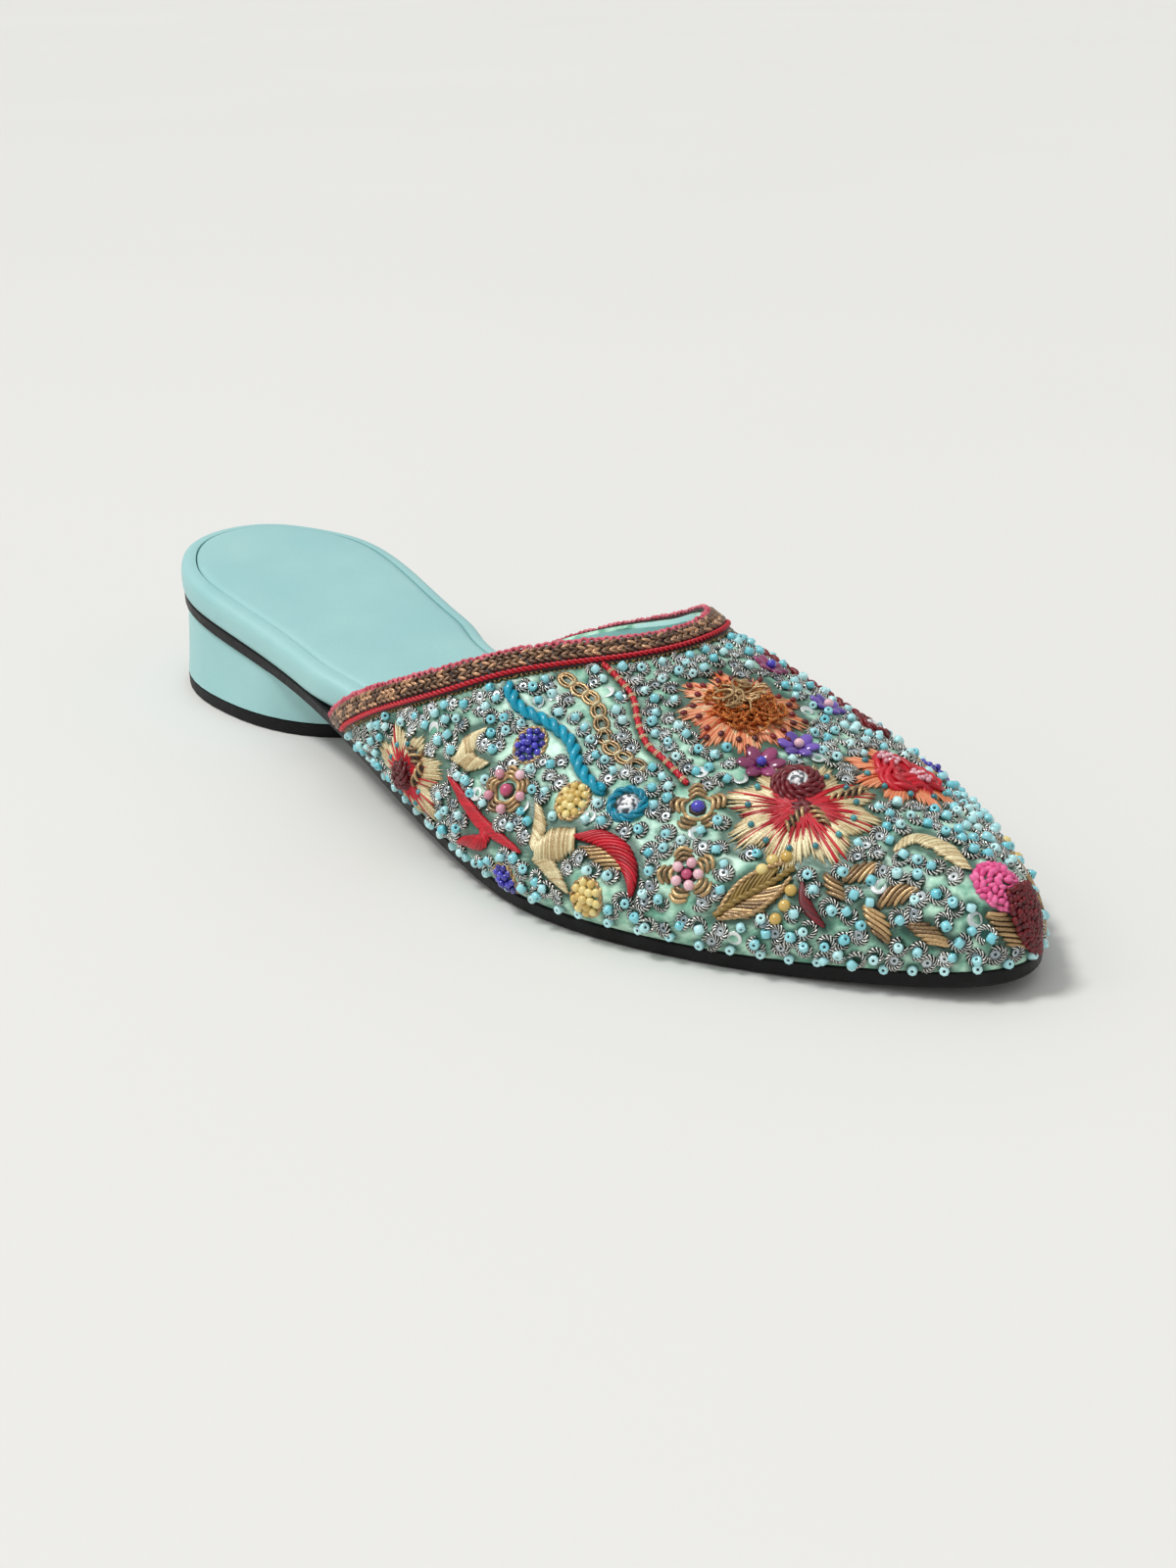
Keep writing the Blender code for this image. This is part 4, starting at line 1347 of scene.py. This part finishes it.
# %% Stones, petals, links
def stone_shape():
    """A cut stone of radius 1 with its table up."""
    shape = bmesh.new()
    bmesh.ops.create_cone(shape, segments=10, radius1=1.0, radius2=0.52, depth=0.62, cap_ends=True)
    crown = [edge for edge in shape.edges if all(vert.co.z > 0 for vert in edge.verts)]
    bmesh.ops.bevel(shape, geom=crown, offset=0.16, segments=1, profile=0.5, affect="EDGES", material=-1)
    bmesh.ops.triangulate(shape, faces=[face for face in shape.faces if len(face.verts) == 4])
    cut = kept(shape, False)
    spark = (np.arange(len(cut[0])) * 7 % 5) / 4
    return cut[:4] + (spark,)


def sparkling(name):
    """Cut crystal: white with dark patches of painted reflection, for faces that mirror a dark and a bright
    side of the room.
    """
    finish = Finish(name, Coat_Weight=1.0, Coat_Roughness=0.02, Roughness=0.08)
    facet_relief_and_painted_reflection = finish.noise(1200.0, 0.0)
    # painted reflection: dark and white patches in the base colour
    finish.set("Base Color", finish.blend(facet_relief_and_painted_reflection.span(0.36, 0.54), tint(78, 82, 90), tint(255, 255, 255)))
    finish.bump(facet_relief_and_painted_reflection, 0.0004)
    return finish.material


magenta_glass = glass("magenta_glass", tint(170, 50, 92), tint(206, 84, 124), 0.12)
pearl_pink = glass("pink_pearl", tint(214, 140, 156), tint(248, 204, 212), 0.16)
blue_glass = glass("blue_glass", tint(26, 16, 118), tint(80, 74, 206), 0.08)
yellow_glass = glass("yellow_glass", tint(206, 164, 72), tint(246, 226, 152), 0.12)
teal_glass = glass("teal_glass", tint(22, 112, 124), tint(70, 164, 170), 0.15)
plum_petal = glass("plum_petal", tint(110, 22, 74), tint(172, 62, 118), 0.16)
violet_petal = glass("violet_petal", tint(60, 34, 128), tint(116, 82, 186), 0.16)

ball = grain_shape(8, 6)
for name, kind, shape, material in (
    ("crystals", "crystal", stone_shape(), sparkling("crystal")),
    ("pink_pearls", "pearl", ball, pearl_pink),
    ("blue_beads", "blue", ball, blue_glass),
    ("yellow_beads", "yellow", ball, yellow_glass),
    ("white_beads", "white", grain, pearl_pink),
    ("teal_small_beads", "small teal", grain, teal_glass),
    ("maroon_dots", "dot", grain, maroon_silk),
    ("plum_petals", "plum petal", ball, plum_petal),
    ("violet_petals", "violet petal", ball, violet_petal),
    ("magenta_beads", "magenta", ball, magenta_glass),
    ("gold_curls", "curl", ring_shape(14, 5, 0.2, 5.4), bronze_thread),
    ("gold_buds", "bud", ball, yellow_glass),
    ("pink_knots", "knot pink", grain, pink_silk),
    ("maroon_knots", "knot maroon", grain, maroon_silk),
    ("orange_coils", "orange coil", ring_shape(10, 4, 0.26, 4.6), orange_coil),
    ("chain_links", "link", ring_shape(12, 4, 0.26), bronze_thread),
    ("gold_ties", "tie", grain, gold_thread),
):
    strewn(name, shape, spots_of[kind], material)

# %% Threads as pieces
fine_thread = thread_shape(8, 4)
wire_length = thread_shape(8, 6, 0.7)
for name, kind, material, shape in (
    ("gold_stitches", "gold", gold_thread, fine_thread),
    ("red_stitches", "red", red_silk, None),
    ("maroon_stitches", "maroon", maroon_silk, None),
    ("peach_stitches", "peach", peach_silk, fine_thread),
    ("orange_stitches", "orange", orange_silk, fine_thread),
    ("olive_stitches", "olive", olive_silk, None),
    ("padding_in_painted_shade", "padding", padding_in_painted_shade, fine_thread),
    ("bronze_wire", "bronze", bronze_thread, wire_length),
    ("gold_wire", "gold coil", bronze_thread, thread_shape(48, 5)),
    ("teal_cord", "teal", teal_silk, thread_shape(120, 7)),
):
    short = [run for run in runs_of[kind] if len(run[0]) < 20 or shape]
    long = [run for run in runs_of[kind] if len(run[0]) >= 20 and not shape]
    laid(name, shape or fine_thread, short, material)
    if long:
        laid(name.replace("stitches", "cords"), thread_shape(64, 6), long, material)

# %% The ground of beads, loops and sequins
DARTS = 16000
COIL_GAP = 2.6 * MM
WIDEST_MOTIF = 7 * MM
CELL = 4 * MM
LOOP_MARGIN = 0.75 * MM
BEAD_MARGIN = 0.45 * MM
BEAD_GAP = 2.4 * MM
SEQUIN_SHARE = 0.07
SILVER_SHARE = 0.5
LEFT_BARE = 0.78
SEQUIN_SIZE = np.array((1.35, 1.35, 1.35)) * MM
SILVER_SIZE = np.array((0.95, 0.95, 0.95)) * MM
LOOP_SIZE = np.array((1.36, 1.16, 1.3)) * MM
LOOP_BEAD_SIZE = np.array((0.86, 0.86, 0.86)) * MM
SINGLE_BEAD_SIZE = np.array((0.86, 0.86, 0.82)) * MM
EDGE_BEAD_SIZE = np.array((0.86, 0.86, 0.95)) * MM
claimed = tree_of([place for place, _ in taken])


def unclaimed(point, margin):
    """Whether no motif reaches to within a margin of a point."""
    near = claimed.find_range(point, WIDEST_MOTIF)
    return all(distance > taken[index][1] + margin for _, index, distance in near)


def any_heading(outward):
    """A direction in the satin, by chance."""
    return Matrix.Rotation(chance.uniform(0, FULL_TURN), 3, outward) @ outward.orthogonal().normalized()


loops = Board(CELL)
beads_at = Board(CELL)
loop_spots = []
bead_spots = []
sequin_spots = []
inner_spots = []
for point, outward in darts(DARTS):
    if loops.near(point, COIL_GAP) or not unclaimed(point, LOOP_MARGIN):
        continue
    loops.add(point)
    heading = any_heading(outward)
    lean = tipped(outward, heading, 0.3)
    tone = chance.uniform(0, 1)
    if chance.uniform() < SEQUIN_SHARE:
        sequin_spots.append((point + outward * 0.6 * MM, lean, heading, SEQUIN_SIZE, tone))
        continue
    size = LOOP_SIZE * chance.uniform(0.9, 1.15)
    loop_spots.append((point + outward * 0.45 * MM, lean, heading, size, tone))
    if chance.uniform() < SILVER_SHARE:
        inner_spots.append((point + outward * 0.55 * MM, lean, heading, SILVER_SIZE, tone))
        continue
    tilt = (outward + heading * chance.choice((-1, 1)) * chance.uniform(0.2, 2.4)).normalized()
    size = LOOP_BEAD_SIZE * chance.uniform(0.92, 1.08)
    spot = point + outward * chance.uniform(0.9, 1.3) * MM + heading * chance.uniform(0, 0.9) * MM
    bead_spots.append((spot, tilt, outward.cross(heading), size, chance.uniform(0, 1)))
    beads_at.add(point)
for point, outward in darts(DARTS // 2):
    if beads_at.near(point, BEAD_GAP) or not unclaimed(point, BEAD_MARGIN) or chance.uniform() < LEFT_BARE:
        continue
    beads_at.add(point)
    heading = any_heading(outward)
    tilt = (outward + heading * chance.choice((-1, 1)) * chance.uniform(0.4, 4.0)).normalized()
    size = SINGLE_BEAD_SIZE * chance.uniform(0.9, 1.05)
    bead_spots.append((point + outward * 0.75 * MM, tilt, outward.cross(heading), size, chance.uniform(0, 1)))
# a row of beads along the lower edge, just above the sole
EDGE_GAP = 4.6 * MM
EDGE_BACK = 0.075
VAMP_MIDDLE = 0.112
VAMP_SIDEWAYS = 0.004
last = None
for point in sorted(hem_points, key=lambda at: math.atan2(at.y + VAMP_SIDEWAYS, at.x - VAMP_MIDDLE)):
    if point.x < EDGE_BACK or last and (point - last).length < EDGE_GAP:
        continue
    last = point
    spot, away = settled(point + Vector((0, 0, 0.6 * MM)))
    tilt = (away + Vector((0, 0, 0.5))).normalized()
    spot += away * 0.7 * MM
    bead_spots.append((spot, tilt, away.orthogonal(), EDGE_BEAD_SIZE, chance.uniform(0.5, 1)))
silver = glass("sequin_silver", tint(150, 164, 172), tint(240, 246, 248), 0.1, 0.5)
strewn("inner_sequins", sequin, inner_spots, silver)
strewn("ground_loops", ring_shape(12, 5, 0.40, 5.0), loop_spots, gunmetal)
strewn("ground_beads", bead, bead_spots, turquoise)
white = glass("sequin_white", tint(206, 218, 216), tint(248, 250, 248), 0.12, 0.3)
strewn("ground_sequins", sequin, sequin_spots, white)

# %% [markdown]
# Every stitch pulls the satin down and the cloth swells a little between stitches, where it also catches
# the light. So each point of the satin asks how far the nearest stitch is: near ones stay down and are
# darkened with painted shade, as shadow falls between stitches, and far ones rise. The subdivided mesh is
# fine enough to show it.

# %% Puckered satin
SWELL = 0.42 * MM
SWELL_REACH = 1.7 * MM
SHADE_FROM = 1.1 * MM
SHADE_REACH = 1.1 * MM
DARKEST_PAINTED_SHADE = 0.85
stitches = tree_of([place for place, _ in taken] + [spot[0] for spot in loop_spots + bead_spots])

finer_cloth = bmesh.new()
finer_cloth.from_object(upper, bpy.context.evaluated_depsgraph_get())
outside = [edge for edge in finer_cloth.edges if all(face.material_index == 0 for face in edge.link_faces)]
bmesh.ops.subdivide_edges(finer_cloth, edges=outside, cuts=1, use_grid_fill=True)
for face in finer_cloth.faces:
    face.smooth = True
upper.modifiers.clear()
finer_cloth.to_mesh(upper.data)
finer_cloth.free()
puckered = upper.data
shade = np.zeros(len(puckered.vertices))
lined = {vert for face in puckered.polygons if face.material_index for vert in face.vertices}
outward_of = [vert.normal.copy() for vert in puckered.vertices]
for vert, away in zip(puckered.vertices, outward_of):
    if vert.index in lined or on_rim(vert.co, away):
        continue
    gap = stitches.find(vert.co + away * 0.4 * MM)[2]
    open_share = min(1.0, gap / SWELL_REACH)
    smooth_share = open_share * open_share * (3 - 2 * open_share)
    # painted shade: the satin is darkened within reach of a stitch, where shadow falls
    shade[vert.index] = min(1.0, max(0.0, 1 - (gap - SHADE_FROM) / SHADE_REACH)) * DARKEST_PAINTED_SHADE
    vert.co += away * SWELL * smooth_share
puckered.attributes.new("tone", "FLOAT", "POINT").data.foreach_set("value", shade)
print("satin points raised:", len(puckered.vertices) - len(lined), "faces:", len(puckered.polygons))

# %% [markdown]
# A pale floor that runs to the horizon, a light as wide as a ceiling, a lamp, a small window light from the
# left and a bright even sky: the plain light of a product table. The colours are shown with no film look.

# %% Floor and light
SKY = (0.665, 0.672, 0.672, 1.0)
SKY_STRENGTH = 0.74

floor_shape = bmesh.new()
bmesh.ops.create_grid(floor_shape, x_segments=1, y_segments=1, size=6.0)
floor_mesh = bpy.data.meshes.new("floor")
floor_shape.to_mesh(floor_mesh)
floor_shape.free()
floor = placed("floor", floor_mesh)
paper = Finish("white_paper", Roughness=0.7)
paper.set("Base Color", paper.blend(paper.noise(3.0), tint(227, 226, 222), tint(231, 230, 226)))
floor_mesh.materials.append(paper.material)


def lit(name, kind, power):
    """A lamp of a kind and power in watts, or watts for each square metre."""
    lamp = bpy.data.lights.new(name, kind)
    lamp.energy = power
    return placed(name, lamp)


def soft_light(name, place, aim, size, power):
    """A square of light at a place, turned to its aim."""
    light = lit(name, "AREA", power)
    light.data.shape = "SQUARE"
    light.data.size = size
    light.location = place
    light.rotation_euler = (Vector(aim) - Vector(place)).to_track_quat("-Z", "Y").to_euler()


def ceiling(name, aim, power, softness):
    """Light from one way over the whole floor, softer the wider it is in degrees."""
    light = lit(name, "SUN", power)
    light.data.angle = math.radians(softness)
    light.rotation_euler = Vector(aim).to_track_quat("-Z", "Y").to_euler()


ceiling("ceiling", (0.15, 0.25, -1.0), 0.35, 85.0)
ceiling("lamp", (0.30, 0.40, -1.0), 1.6, 14.0)
soft_light("window", (-0.2, -0.75, 0.75), (0.08, 0.0, 0.0), 0.25, 0.5)
world = bpy.data.worlds.new("pale_room")
bpy.context.scene.world = world
world.use_nodes = True
world.node_tree.nodes["Background"].inputs["Color"].default_value = SKY
world.node_tree.nodes["Background"].inputs["Strength"].default_value = SKY_STRENGTH
bpy.context.scene.view_settings.view_transform = "Standard"
